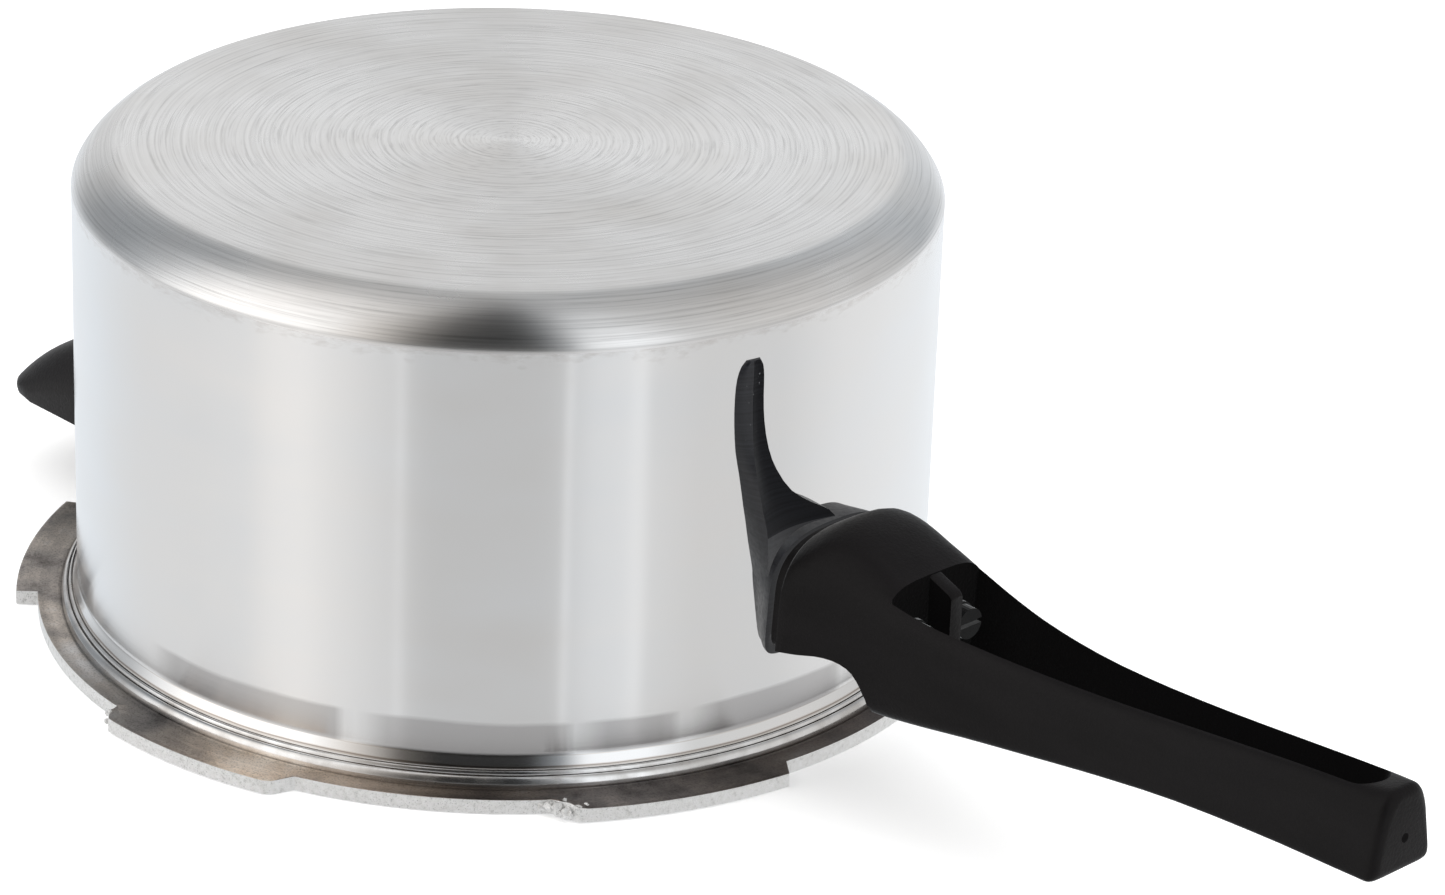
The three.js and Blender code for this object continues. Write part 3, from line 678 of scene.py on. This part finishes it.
def paint_pan(bm, section):
    kind_at = section_lookup(section)
    for face in bm.faces:
        middle = face.calc_center_median()
        kind = kind_at(middle.xy.length / MM, (middle.z - RIM_Z) / MM)
        face.material_index = PAN_FACES[kind]


def stretch_lugs(bm):
    """The flange, spun as a plain ring, reaches out to the lugs' radius wherever a lug is."""
    for v in bm.verts:
        out = v.co.xy.length / MM - RADIUS
        if out < LUG_FROM - 0.01:
            continue
        angle = lug_end_angle(math.degrees(math.atan2(v.co.y, v.co.x)))
        share = (out - LUG_FROM) / (FLANGE - LUG_FROM)
        longer = share * lug_reach(angle) * (LUG_RADIUS - RADIUS - FLANGE)
        radius = (RADIUS + out + longer) * MM
        lift = torn_edge(angle, out) if v.co.z > above(1.0) else 0.0
        if 0 < angle - NEAR_LUG[1] < 2 * END_WIDTH:
            angle += NEAR_LUG_SKEW * share
        turn = math.radians(angle)
        v.co = Vector((radius * math.cos(turn), radius * math.sin(turn), v.co.z + lift * MM))


# Lumps of torn metal where the press started two lugs: compass angle, distance from the axis, size.
LUMPS = [
    (-36.9, 115.0, 0.9), (-36.0, 115.6, 1.3), (-35.2, 116.8, 1.5), (-34.4, 116.0, 1.0),
    (-34.3, 118.3, 1.6), (-33.4, 117.2, 1.2), (-33.0, 118.9, 1.3), (-32.1, 118.1, 0.8),
    (-35.3, 118.2, 1.0), (-31.6, 119.0, 0.7),
    (-93.1, 116.2, 0.8), (-93.2, 118.0, 0.9), (-92.8, 119.2, 0.7),
]


def add_burr(bm):
    for index, (angle, out, size) in enumerate(LUMPS):
        turn = math.radians(angle)
        height = above(2.1 + 0.45 * (index % 4))
        spot = Vector((out * MM * math.cos(turn), out * MM * math.sin(turn), height))
        made = bmesh.ops.create_icosphere(bm, subdivisions=2, radius=size * MM)
        for v in made["verts"]:
            x, y, z = v.co
            rough = 1 + 0.30 * math.sin(x * 3300 + index) * math.sin(y * 3900 + 2 * index)
            rough += 0.22 * math.sin(z * 4700 + 3 * index) * math.sin(x * 6900)
            v.co = v.co * rough + spot
            for face in v.link_faces:
                face.material_index = PAN_FACES["edge"]


def section_lookup(section):
    """A function that gives the kind of the section's segment nearest to (radius, height)."""
    middles = []
    for a, b in zip(section, section[1:]):
        middles.append(((a[0] + b[0]) / 2, (a[1] + b[1]) / 2, a[2]))
    found = {}

    def kind_at(r, h):
        key = (round(r, 1), round(h, 2))
        if key not in found:
            found[key] = min(middles, key=lambda m: (m[0] - r) ** 2 + (m[1] - h) ** 2)[2]
        return found[key]

    return kind_at


def make_pan():
    section = pan_section()
    bm = bmesh.new()
    verts = [bm.verts.new((r * MM, 0, above(h))) for r, h, _ in section]
    edges = [bm.edges.new(ends) for ends in zip(verts, verts[1:])]
    bmesh.ops.spin(
        bm,
        geom=verts + edges,
        cent=(0, 0, 0),
        axis=(0, 0, 1),
        angle=math.tau,
        steps=360,
        use_merge=True,
        use_duplicate=False,
    )
    bmesh.ops.remove_doubles(bm, verts=bm.verts, dist=1e-6)
    paint_pan(bm, section)
    stretch_lugs(bm)
    add_burr(bm)
    return piece(
        "pan_body",
        bm,
        [base_metal, flare_metal, wall_metal, bead_metal, rim_metal, edge_metal, inside_metal],
        ["pan", "locking_rim"],
        sharp=28.0,
    )


make_pan()


# ---- long handle --------------------------------------------------------------------------------

# The guard's outline at the wall and at its open lip: half width of the flat side and of the
# crown, heights of both, and how square the crown is (2 is an ellipse).
GUARD_BACK = (13.3, 17.8, 30.5, 62.0, 2.7)
GUARD_LIP = (21.5, 19.5, 33.4, 62.6, 2.7)
GUARD_WALL = 2.2
GROOVE_DEPTH = 1.8  # of the groove between guard and handle

# The handle's outline, in the same way, at distances from its root face.
HANDLE = [
    (0, 21.5, 19.5, 29, 63.6, 2.7),
    (7, 21, 18.5, 29, 67.4, 2.7),
    (14, 20, 17.5, 29, 67.2, 2.9),
    (23, 18.6, 16.6, 29, 64.2, 3.3),
    (31, 17.4, 16, 29.2, 60.8, 4.2),
    (41, 16.6, 14.8, 30.5, 57.6, 5.2),
    (55, 15.4, 12.4, 32.6, 55.6, 6),
    (73, 14, 10.2, 35, 54.9, 6),
    (91, 12.8, 8.8, 37.4, 55.4, 6),
    (113, 11.7, 7.6, 39.8, 57, 6),
    (139, 11, 6.9, 41.2, 59.4, 6),
    (159, 10.6, 6.7, 41.6, 61.4, 4.6),
    (169, 10.4, 6.6, 41.8, 62.4, 3.4),
]
# Underside of the root, cut away over the rim: distance from the root face, lowest height.
NOTCH = [
    (0, 36.4), (7, 37.9), (13, 39.4), (18, 39.7), (22, 38.6), (25, 35.6), (27.2, 31.2), (28.2, 27.5),
]
SLOT_START = 30.0
SLOT_END = 162.5
SLOT_RIM = 2.0  # left between the slot and the crown's edge
SLOT_LIP = 0.35  # chamfer along the slot's mouth
SLOT_LEAN = 1.4  # how much narrower the slot's floor is, on each side
SLOT_FLOOR = 4.5  # floor above the flat side
SLOT_END_ROUND = 5.0
TIP_ROUND = 2.5
FLAT_POWER = 9.0  # how square the flat side's corners are
OUTER, WALL_POINTS, FLOOR_POINTS = 60, 6, 6  # points round a section's outside, slot wall and floor


def loaf_outline(row, angle, inset=0.0):
    """(across, height) on a loaf section: a flat side below, an arched crown above."""
    flat_half, crown_half, flat, crown, arch = row
    c, s = math.cos(angle), math.sin(angle)
    power = 2 / (arch if s > 0 else FLAT_POWER)
    across = math.copysign(abs(c) ** power, c)
    up = math.copysign(abs(s) ** power, s)
    half = lerp(flat_half, crown_half, (up + 1) / 2) - inset
    middle, tall = (flat + crown) / 2, (crown - flat) / 2 - inset
    return half * across, middle + tall * up


def crown_angle(row, across, inset=0.0):
    """Angle at which the crown of a loaf section is this far across."""
    low, high = 0.0, math.pi / 2
    for _ in range(40):
        angle = (low + high) / 2
        if loaf_outline(row, angle, inset)[0] > across:
            low = angle
        else:
            high = angle
    return (low + high) / 2


def lowest(x):
    """Lowest height of the handle at a distance from its root face, where the notch limits it."""
    return curved(NOTCH, x)[0] if x < NOTCH[-1][0] else 0.0


def closed_slot(row, start, inset):
    """The points of the slot's wall and floor where there is no slot: along the crown."""
    steps = WALL_POINTS + 4
    side = []
    for k in range(1, WALL_POINTS + 1):
        side.append(loaf_outline(row, lerp(start, math.pi / 2, k / steps), inset))
    across = []
    for k in range(1, FLOOR_POINTS):
        y = lerp(-side[-1][0], side[-1][0], k / FLOOR_POINTS)
        across.append((y, loaf_outline(row, crown_angle(row, abs(y), inset), inset)[1]))
    return side, across


def open_slot(row, slot_half, lip_height):
    """The points of the slot's wall, from the lip down, and of its slightly hollow floor."""
    depth = lip_height - (row[2] + SLOT_FLOOR)
    side = []
    for k in range(1, WALL_POINTS + 1):
        t = k / WALL_POINTS
        side.append((slot_half - SLOT_LEAN * t, lip_height - SLOT_LIP - depth * t))
    across = []
    for k in range(1, FLOOR_POINTS):
        t = k / FLOOR_POINTS
        hollow = 0.8 * (1 - abs(2 * t - 1) ** 3)
        across.append((lerp(-side[-1][0], side[-1][0], t), side[-1][1] - hollow))
    return side, across


def handle_ring(x, slot_open, inset):
    """One section: round the outside from the far lip to the near lip, then down the slot and up."""
    row = curved(HANDLE, x)
    slot_half = max(0.4, row[1] - SLOT_RIM) * slot_width(x)
    start = crown_angle(row, slot_half + SLOT_LIP, inset)
    outside = []
    for k in range(OUTER + 1):
        y, h = loaf_outline(row, lerp(start, math.pi - start - math.tau, k / OUTER), inset)
        outside.append((y, max(h, lowest(x))))
    if slot_open:
        side, across = open_slot(row, slot_half, outside[0][1])
    else:
        side, across = closed_slot(row, start, inset)
    near = [(-y, h) for y, h in side]
    return outside + near + across + side[::-1]


def slot_width(x):
    """Share of the slot's half width, for its round end."""
    into = (x - (SLOT_END - SLOT_END_ROUND)) / SLOT_END_ROUND
    if into <= 0:
        return 1.0
    return lerp(0.03, 1.0, math.sqrt(max(0.0, 1 - into * into)))


def handle_stations():
    """Distance from the root face, whether the slot is open there, and inset of the outline."""
    length = TIP - ROOT
    stations = [(0, False, 1.6), (0, False, 0.7), (0.35, False, 0.2), (1.0, False, 0.0)]
    shut = (3, 5, 7, 9.5, 12, 14.5, 17, 19, 21, 22.5, 24, 25, 26, 27, 27.8, 28.3, 29.2, SLOT_START)
    stations += [(x, False, 0.0) for x in shut]
    cut = [SLOT_START + 0.02, 31, 33, 35.5, 38, 41, 45, 49, 54, 60, 66, 73, 80, 88, 96, 105]
    cut += [114, 124, 134, 143, 150]
    cut += [SLOT_END - SLOT_END_ROUND * (1 - k) for k in (0, 0.3, 0.55, 0.75, 0.88, 0.95, 0.99)]
    stations += [(x, True, 0.0) for x in cut]
    beyond_slot = (SLOT_END + 0.02, SLOT_END + 1.5, length - TIP_ROUND)
    stations += [(x, False, 0.0) for x in beyond_slot]
    for k in range(1, 7):
        angle = math.radians(15 * k)
        round_x, round_in = TIP_ROUND * math.sin(angle), TIP_ROUND * (1 - math.cos(angle))
        stations.append((length - TIP_ROUND + round_x, False, round_in))
    return stations


def make_handle():
    stations = handle_stations()
    rings = [handle_ring(*station) for station in stations]

    def at(i, j):
        y, h = rings[i][j]
        return Vector(((ROOT + stations[i][0]) * MM, y * MM, above(h)))

    def paint(i, j):
        # Painted shade: the slot's walls and floor take the darker phenolic.
        in_slot = j > OUTER and (stations[i][1] or stations[i + 1][1])
        return 1 if in_slot else 0

    bm = bmesh.new()
    skin(bm, len(rings), len(rings[0]), at, paint=paint)
    add_rib(bm)
    add_spigot(bm)
    add_gate_mark(bm)
    materials = [phenolic, phenolic_painted_shade]
    grip = piece("main_handle_moulding", bm, materials, ["main_handle"], sharp=38.0)
    grip.visible_glossy = False


RIB_HALF = 1.85
RIB_FOOT = 33.0
# Along the rib from the slot's start, and how far its top is below the crown.
RIB_TOP = [(-1.5, 0.3), (0, 0.3), (2, 0.3), (4, 0.3), (6, 0.35), (6.6, 0.6), (7, 1.2)]


def add_rib(bm):
    """The rib that parts the two screw pockets at the root of the slot, level with the crown."""
    rings = []
    for along, drop in RIB_TOP:
        x = SLOT_START + along
        top = curved(HANDLE, x)[3] - drop
        side = [(RIB_HALF, RIB_FOOT), (RIB_HALF, top - 0.5)]
        side += [(RIB_HALF - 0.15, top - 0.15), (RIB_HALF - 0.5, top)]
        rings.append([(x, y, h) for y, h in side] + [(x, -y, h) for y, h in reversed(side)])

    def at(i, j):
        x, y, h = rings[i][j]
        return Vector(((ROOT + x) * MM, y * MM, above(h)))

    # Painted shade on the rib's sides; its top and chamfers stay in the plain phenolic.
    skin(bm, len(rings), len(rings[0]), at, paint=lambda i, j: 0 if 1 <= j <= 5 else 1)


GATE_MARK_RADIUS = 1.15
GATE_MARK_DEPTH = 1.0
GATE_MARK_PROUD = 0.06


def add_gate_mark(bm):
    """The small round mark that moulding leaves on the tip's end face, a hair proud of it."""
    row = curved(HANDLE, TIP - ROOT)
    made = bmesh.ops.create_cone(
        bm,
        cap_ends=True,
        segments=24,
        radius1=GATE_MARK_RADIUS * MM,
        radius2=(GATE_MARK_RADIUS - 0.05) * MM,
        depth=GATE_MARK_DEPTH * MM,
    )
    middle_x = (TIP + GATE_MARK_PROUD - GATE_MARK_DEPTH / 2) * MM
    middle = Vector((middle_x, 0, above(lerp(row[2], row[3], 0.42))))
    for v in made["verts"]:
        v.co = middle + Vector((v.co.z, v.co.x, v.co.y))
        for face in v.link_faces:
            face.material_index = 1


def add_spigot(bm):
    """The neck that enters the guard and shows as the dark bottom of the groove."""
    flat_half, crown_half, _, crown, arch = curved(HANDLE, 0)
    row = (flat_half, crown_half, GUARD_LIP[2], crown, arch)
    xs = [LIP - 0.6, LIP, ROOT, ROOT + 2]
    around = 64
    ring = [loaf_outline(row, -math.tau * j / around, GROOVE_DEPTH) for j in range(around)]
    skin(bm, len(xs), around, lambda i, j: Vector((xs[i] * MM, ring[j][0] * MM, above(ring[j][1]))))


make_handle()


# ---- flame guard ------------------------------------------------------------------------------

# The fin, from its root in the collar to its tip. Height, then across: where its flank meets
# the wall, its ridge, the front face's other edge. Then how far ridge and edge stand proud.
FIN = [
    (50.0, -16.2, -19.4, -2.0, 9.3, 9.0),
    (56.0, -17.2, -19.6, 0.0, 9.2, 8.8),
    (61.0, -18.0, -19.6, 2.0, 9.0, 8.2),
    (64.5, -18.6, -19.5, 0.0, 8.4, 6.9),
    (67.5, -19.2, -19.4, -5.0, 7.2, 6.0),
    (71.0, -19.8, -19.3, -9.5, 5.9, 4.5),
    (76.5, -20.8, -19.2, -12.6, 4.0, 2.7),
    (82.0, -21.9, -19.1, -14.5, 2.6, 2.0),
    (89.0, -22.5, -19.0, -15.6, 1.8, 1.5),
    (95.3, -22.6, -19.0, -15.9, 1.5, 1.3),
    (100.1, -22.2, -18.9, -15.9, 1.4, 1.2),
    (103.0, -21.2, -18.8, -16.2, 1.3, 1.1),
    (104.4, -19.9, -18.7, -16.9, 1.1, 1.0),
]
FIN_HEIGHTS = [
    50, 53, 56, 58.5, 61, 62.7, 64.5, 66, 67.5, 69, 71, 73.5, 76.5, 79, 82, 85.5, 89, 92, 95.3,
    98, 100.1, 101.7, 103, 103.8, 104.4,
]
FIN_FLANK, FIN_FRONT = 7, 12  # points on the fin's flank and across its front face
COLLAR_TOP_ROW = 5  # rows of the fin below this one are inside the collar


def on_wall(across, proud=0.0):
    """Distance along X of the pan wall at this distance across, and proud of it."""
    return math.sqrt((RADIUS + CLEARANCE) ** 2 - across * across) + proud


def fin_ring(height):
    """(across, along X) points round the fin at one height: flank, hollow front, edge, back."""
    at_wall, ridge, edge, ridge_proud, edge_proud = curved(FIN, height)
    a = Vector((at_wall, on_wall(at_wall)))
    b = Vector((ridge, on_wall(ridge, ridge_proud)))
    c = Vector((edge, on_wall(edge, edge_proud)))
    d = Vector((edge + 0.6, on_wall(edge + 0.6)))
    hollow = min(1.6, 0.12 * (c - b).length) * min(1.0, ridge_proud / 3)
    points = []
    for k in range(FIN_FLANK):
        t = k / FIN_FLANK
        points.append(a.lerp(b, t) + Vector((-0.25, 0.25)) * math.sin(math.pi * t))
    for k in range(FIN_FRONT + 1):
        t = k / FIN_FRONT
        points.append(b.lerp(c, t) - Vector((0, math.sin(math.pi * t) * hollow)))
    points += [c.lerp(d, k / 4) for k in range(1, 5)]
    for k in range(1, 6):
        y = lerp(d.x, a.x, k / 6)
        points.append(Vector((y, on_wall(y))))
    tucked = 0.05 * (1 - smooth((height - 50) / 11))
    middle = Vector((-9.0, on_wall(-9.0)))
    return [p.lerp(middle, tucked) for p in points]


def add_collar(bm):
    """The guard's collar, from the wall out to its open lip and a little way back inside."""
    around = 96
    shares = [0, 0.12, 0.3, 0.5, 0.7, 0.85, 0.95, 0.985]
    profile = [(share, 0.0) for share in shares] + [(1.0, 0.35), (1.0, GUARD_WALL - 0.35)]
    profile += [(share, GUARD_WALL) for share in (0.97, 0.7, 0.35, 0.0)]

    def at(i, j):
        share, inset = profile[i % len(profile)]
        widening = lerp(share, smooth(share), 0.35)
        row = [lerp(back, lip, widening) for back, lip in zip(GUARD_BACK, GUARD_LIP)]
        y, h = loaf_outline(row, -math.tau * j / around, inset)
        return Vector((lerp(on_wall(y), LIP, share) * MM, y * MM, above(h)))

    skin(bm, len(profile) + 1, around, at, caps=False)


def add_fin(bm):
    rings = [fin_ring(height) for height in FIN_HEIGHTS]
    top = len(rings) - 1

    def at(i, j):
        across, x = rings[i][j]
        notch = 0.55 * math.exp(-(((j - 9) / 1.6) ** 2)) if i == top else 0.0
        return Vector((x * MM, across * MM, above(FIN_HEIGHTS[i] - notch)))

    def paint(i, j):
        # The fin's front face above the collar takes the darker lacquer: painted shade.
        on_front = FIN_FLANK <= j < FIN_FLANK + FIN_FRONT
        return 1 if on_front and i >= COLLAR_TOP_ROW else 0

    skin(bm, len(rings), len(rings[0]), at, paint=paint)


def make_guard():
    bm = bmesh.new()
    add_collar(bm)
    add_fin(bm)
    materials = [lacquer, lacquer_painted_shade]
    shell = piece("flame_guard_shell", bm, materials, ["flame_guard"], sharp=33.0)
    shell.visible_glossy = False


make_guard()


# ---- helper handle ----------------------------------------------------------------------------


HELPER_HALF = helper_high.y / MM - 2.6
HELPER_REACH = -helper_low.x / MM + 0.4
HELPER_FLAT = 21.0  # height of its flat side
HELPER_THICKNESS = 24.2
HELPER_BOW = 1.6
HELPER_CORNER = 12.0
HELPER_NOSE = 1.5
CROWN_POINTS = 16


def bezier(start, toward_start, toward_end, end, t):
    left = 1 - t
    outer = left**3 * start + t**3 * end
    return outer + 3 * t * left**2 * toward_start + 3 * t * t * left * toward_end


def helper_section(y):
    """(distance from the axis, height) round the helper handle, at this distance across."""
    side = abs(y) / HELPER_HALF
    into_corner = max(0.0, abs(y) - (HELPER_HALF - HELPER_CORNER)) / HELPER_CORNER
    wall = on_wall(y)
    out = HELPER_REACH - HELPER_BOW * side**2
    out -= HELPER_CORNER * (1 - math.sqrt(max(0.0, 1 - into_corner**2)))
    out = max(out, wall + 1.0)
    top = HELPER_FLAT + HELPER_THICKNESS * (1 - 0.5 * into_corner**2.6)
    nose = min(HELPER_NOSE, (out - wall) / 3)
    middle = (out - nose, HELPER_FLAT + nose)
    points = [(wall, HELPER_FLAT), (lerp(wall, out, 0.4), HELPER_FLAT), (out - nose, HELPER_FLAT)]
    for k in range(1, 6):
        angle = math.radians(-90 + 30 * k)
        points.append((middle[0] + nose * math.cos(angle), middle[1] + nose * math.sin(angle)))
    start, end = Vector(points[-1]), Vector((wall, top))
    over_nose = Vector((lerp(out, wall, 0.16), lerp(HELPER_FLAT, top, 0.42)))
    over_wall = Vector((lerp(out, wall, 0.50), lerp(HELPER_FLAT, top, 0.92)))
    for k in range(1, CROWN_POINTS + 1):
        points.append(bezier(start, over_nose, over_wall, end, k / CROWN_POINTS))
    return points + [(wall, lerp(HELPER_FLAT, top, share)) for share in (0.75, 0.5, 0.25)]


def make_helper():
    shares = [-1 + 2 * k / 56 for k in range(57)]
    stations = [math.copysign(abs(share) ** 0.72, share) * HELPER_HALF for share in shares]
    rings = [helper_section(y) for y in stations]

    def at(i, j):
        out, height = rings[i][j]
        return Vector((-out * MM, stations[i] * MM, above(height)))

    bm = bmesh.new()
    skin(bm, len(rings), len(rings[0]), at)
    materials = [helper_phenolic]
    piece("helper_handle_moulding", bm, materials, ["helper_handle"], sharp=40.0)


make_helper()


# ---- fittings kept from the CAD ---------------------------------------------------------------

for name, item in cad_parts.items():
    if "rivet" in name:
        finish = rivet_metal
    elif "screw" in name or "washer" in name:
        # Screws and washers take the nearly black steel: painted shade.
        finish = screw_steel_painted_shade
    elif "bracket" in name:
        finish = zinc
    else:
        continue
    item.visible_glossy = False
    item.data.materials.clear()
    item.data.materials.append(finish)

# ---- floor, light and camera ------------------------------------------------------------------


def make_floor():
    bm = bmesh.new()
    bmesh.ops.create_grid(bm, x_segments=1, y_segments=1, size=8)
    bmesh.ops.translate(bm, verts=bm.verts, vec=(0, 0, RIM_Z - 0.0002))
    mesh = bpy.data.meshes.new("floor")
    bm.to_mesh(mesh)
    bm.free()
    glow = {"Emission_Color": (1, 1, 1, 1), "Emission_Strength": 0.3}
    mesh.materials.append(principled("pale_floor", (0.93, 0.93, 0.93), 0.6, **glow))
    floor = bpy.data.objects.new("floor", mesh)
    bpy.context.scene.collection.objects.link(floor)
    floor.visible_glossy = False


def area_light(name, place_at, aim, width, height, power):
    data = bpy.data.lights.new(name, "AREA")
    data.shape = "RECTANGLE"
    data.size, data.size_y = width, height
    data.energy = power
    light = bpy.data.objects.new(name, data)
    bpy.context.scene.collection.objects.link(light)
    light.location = place_at
    light.rotation_mode = "QUATERNION"
    light.rotation_quaternion = (Vector(aim) - Vector(place_at)).to_track_quat("-Z", "Y")
    light.visible_glossy = False


# The studio round the object, floor and above: compass angle, brightness, warmth in hundredths.
FLOOR_TONES = [
    (-180, 0.84, -4), (-166, 0.78, -2), (-152, 0.735, 0), (-129, 0.685, 0), (-113, 0.71, 0),
    (-109, 0.76, 2), (-105, 0.80, 2), (-96, 0.81, 2), (-88, 0.76, 1), (-79, 0.72, 0),
    (-69.6, 0.70, 0), (-68.5, 0.92, 0), (-67.2, 0.64, 0), (-61, 0.605, 0), (-26.4, 0.605, 0),
    (-25.5, 0.92, 0), (-24.4, 0.665, -1), (-10, 0.72, -1), (-6, 0.86, 0), (-4, 0.66, 0),
    (12, 0.64, 1), (35, 0.65, 0), (45, 0.71, 0), (56, 0.78, 0), (82, 0.85, -1),
    (101, 0.89, -2), (116, 0.95, -3), (135, 1.0, -4), (160, 0.90, -4), (180, 0.84, -4),
]
UPPER_TONES = [
    (-180, 0.30, -5), (-164, 0.26, -5), (-150, 0.45, -3), (-138, 0.90, 0), (-122, 1.30, 3),
    (-94, 1.25, 1), (-80, 0.70, 6), (-67, 0.10, 10), (-58, 0.02, 0), (-34, 0.02, 0),
    (-26, 0.25, -6), (-20, 1.05, -2), (-4, 1.05, -2), (8, 0.66, 0), (40, 0.66, 2),
    (78, 0.52, 0), (92, 0.42, -6), (112, 0.62, -3), (138, 0.80, 0), (165, 0.60, 0), (180, 0.30, -5),
]


def studio_ramp(world, share, tones):
    stops = []
    for angle, value, warmth in tones:
        tint = (value * (1 + warmth / 100), value, value * (1 - warmth / 100))
        stops.append((share_of_turn(angle), tint))
    return ramp(world, share, stops)


def make_world():
    world = bpy.data.worlds.new("studio")
    world.use_nodes = True
    direction = parts_of(world, node(world, "TexCoord").outputs["Generated"])
    share = compass_share(world, direction)
    low = studio_ramp(world, share, FLOOR_TONES)
    high = studio_ramp(world, share, UPPER_TONES)
    dimmer = [(0.55, grey(1)), (0.9, grey(0.70)), (1.0, grey(0.65))]
    high = mixed(world, 1.0, high, ramp(world, direction["Z"], dimmer), "MULTIPLY")
    height = math_of(world, "MULTIPLY_ADD", direction["Z"], 6.5, 1.25)
    height.node.use_clamp = True
    background = world.node_tree.nodes["Background"]
    world.node_tree.links.new(mixed(world, height, low, high), background.inputs["Color"])
    background.inputs["Strength"].default_value = 1.0
    bpy.context.scene.world = world


def make_camera():
    data = bpy.data.cameras.new("camera")
    data.sensor_fit = "HORIZONTAL"
    data.sensor_width = 36
    data.lens = 133.7
    data.clip_start, data.clip_end = 0.05, 50
    camera = bpy.data.objects.new("camera", data)
    bpy.context.scene.collection.objects.link(camera)
    turn = Matrix.Rotation(math.radians(45.451), 4, "Z")
    tilt = Matrix.Rotation(math.radians(65.799), 4, "X")
    roll = Matrix.Rotation(math.radians(2.156), 4, "Z")
    camera.matrix_world = Matrix.Translation((0.8964, -0.8071, 0.4627)) @ turn @ tilt @ roll
    bpy.context.scene.camera = camera


make_floor()
make_world()
area_light("top_softbox", (0.1, -0.1, 2.2), (0, 0, -0.06), 4.0, 4.0, 60)
area_light("left_softbox", (-1.1, -1.2, 0.9), (0, 0, -0.06), 0.9, 1.3, 9)
area_light("right_softbox", (1.3, 0.5, 0.7), (0, 0, -0.06), 0.7, 1.2, 7)
make_camera()
bpy.context.scene.view_settings.view_transform = "Standard"
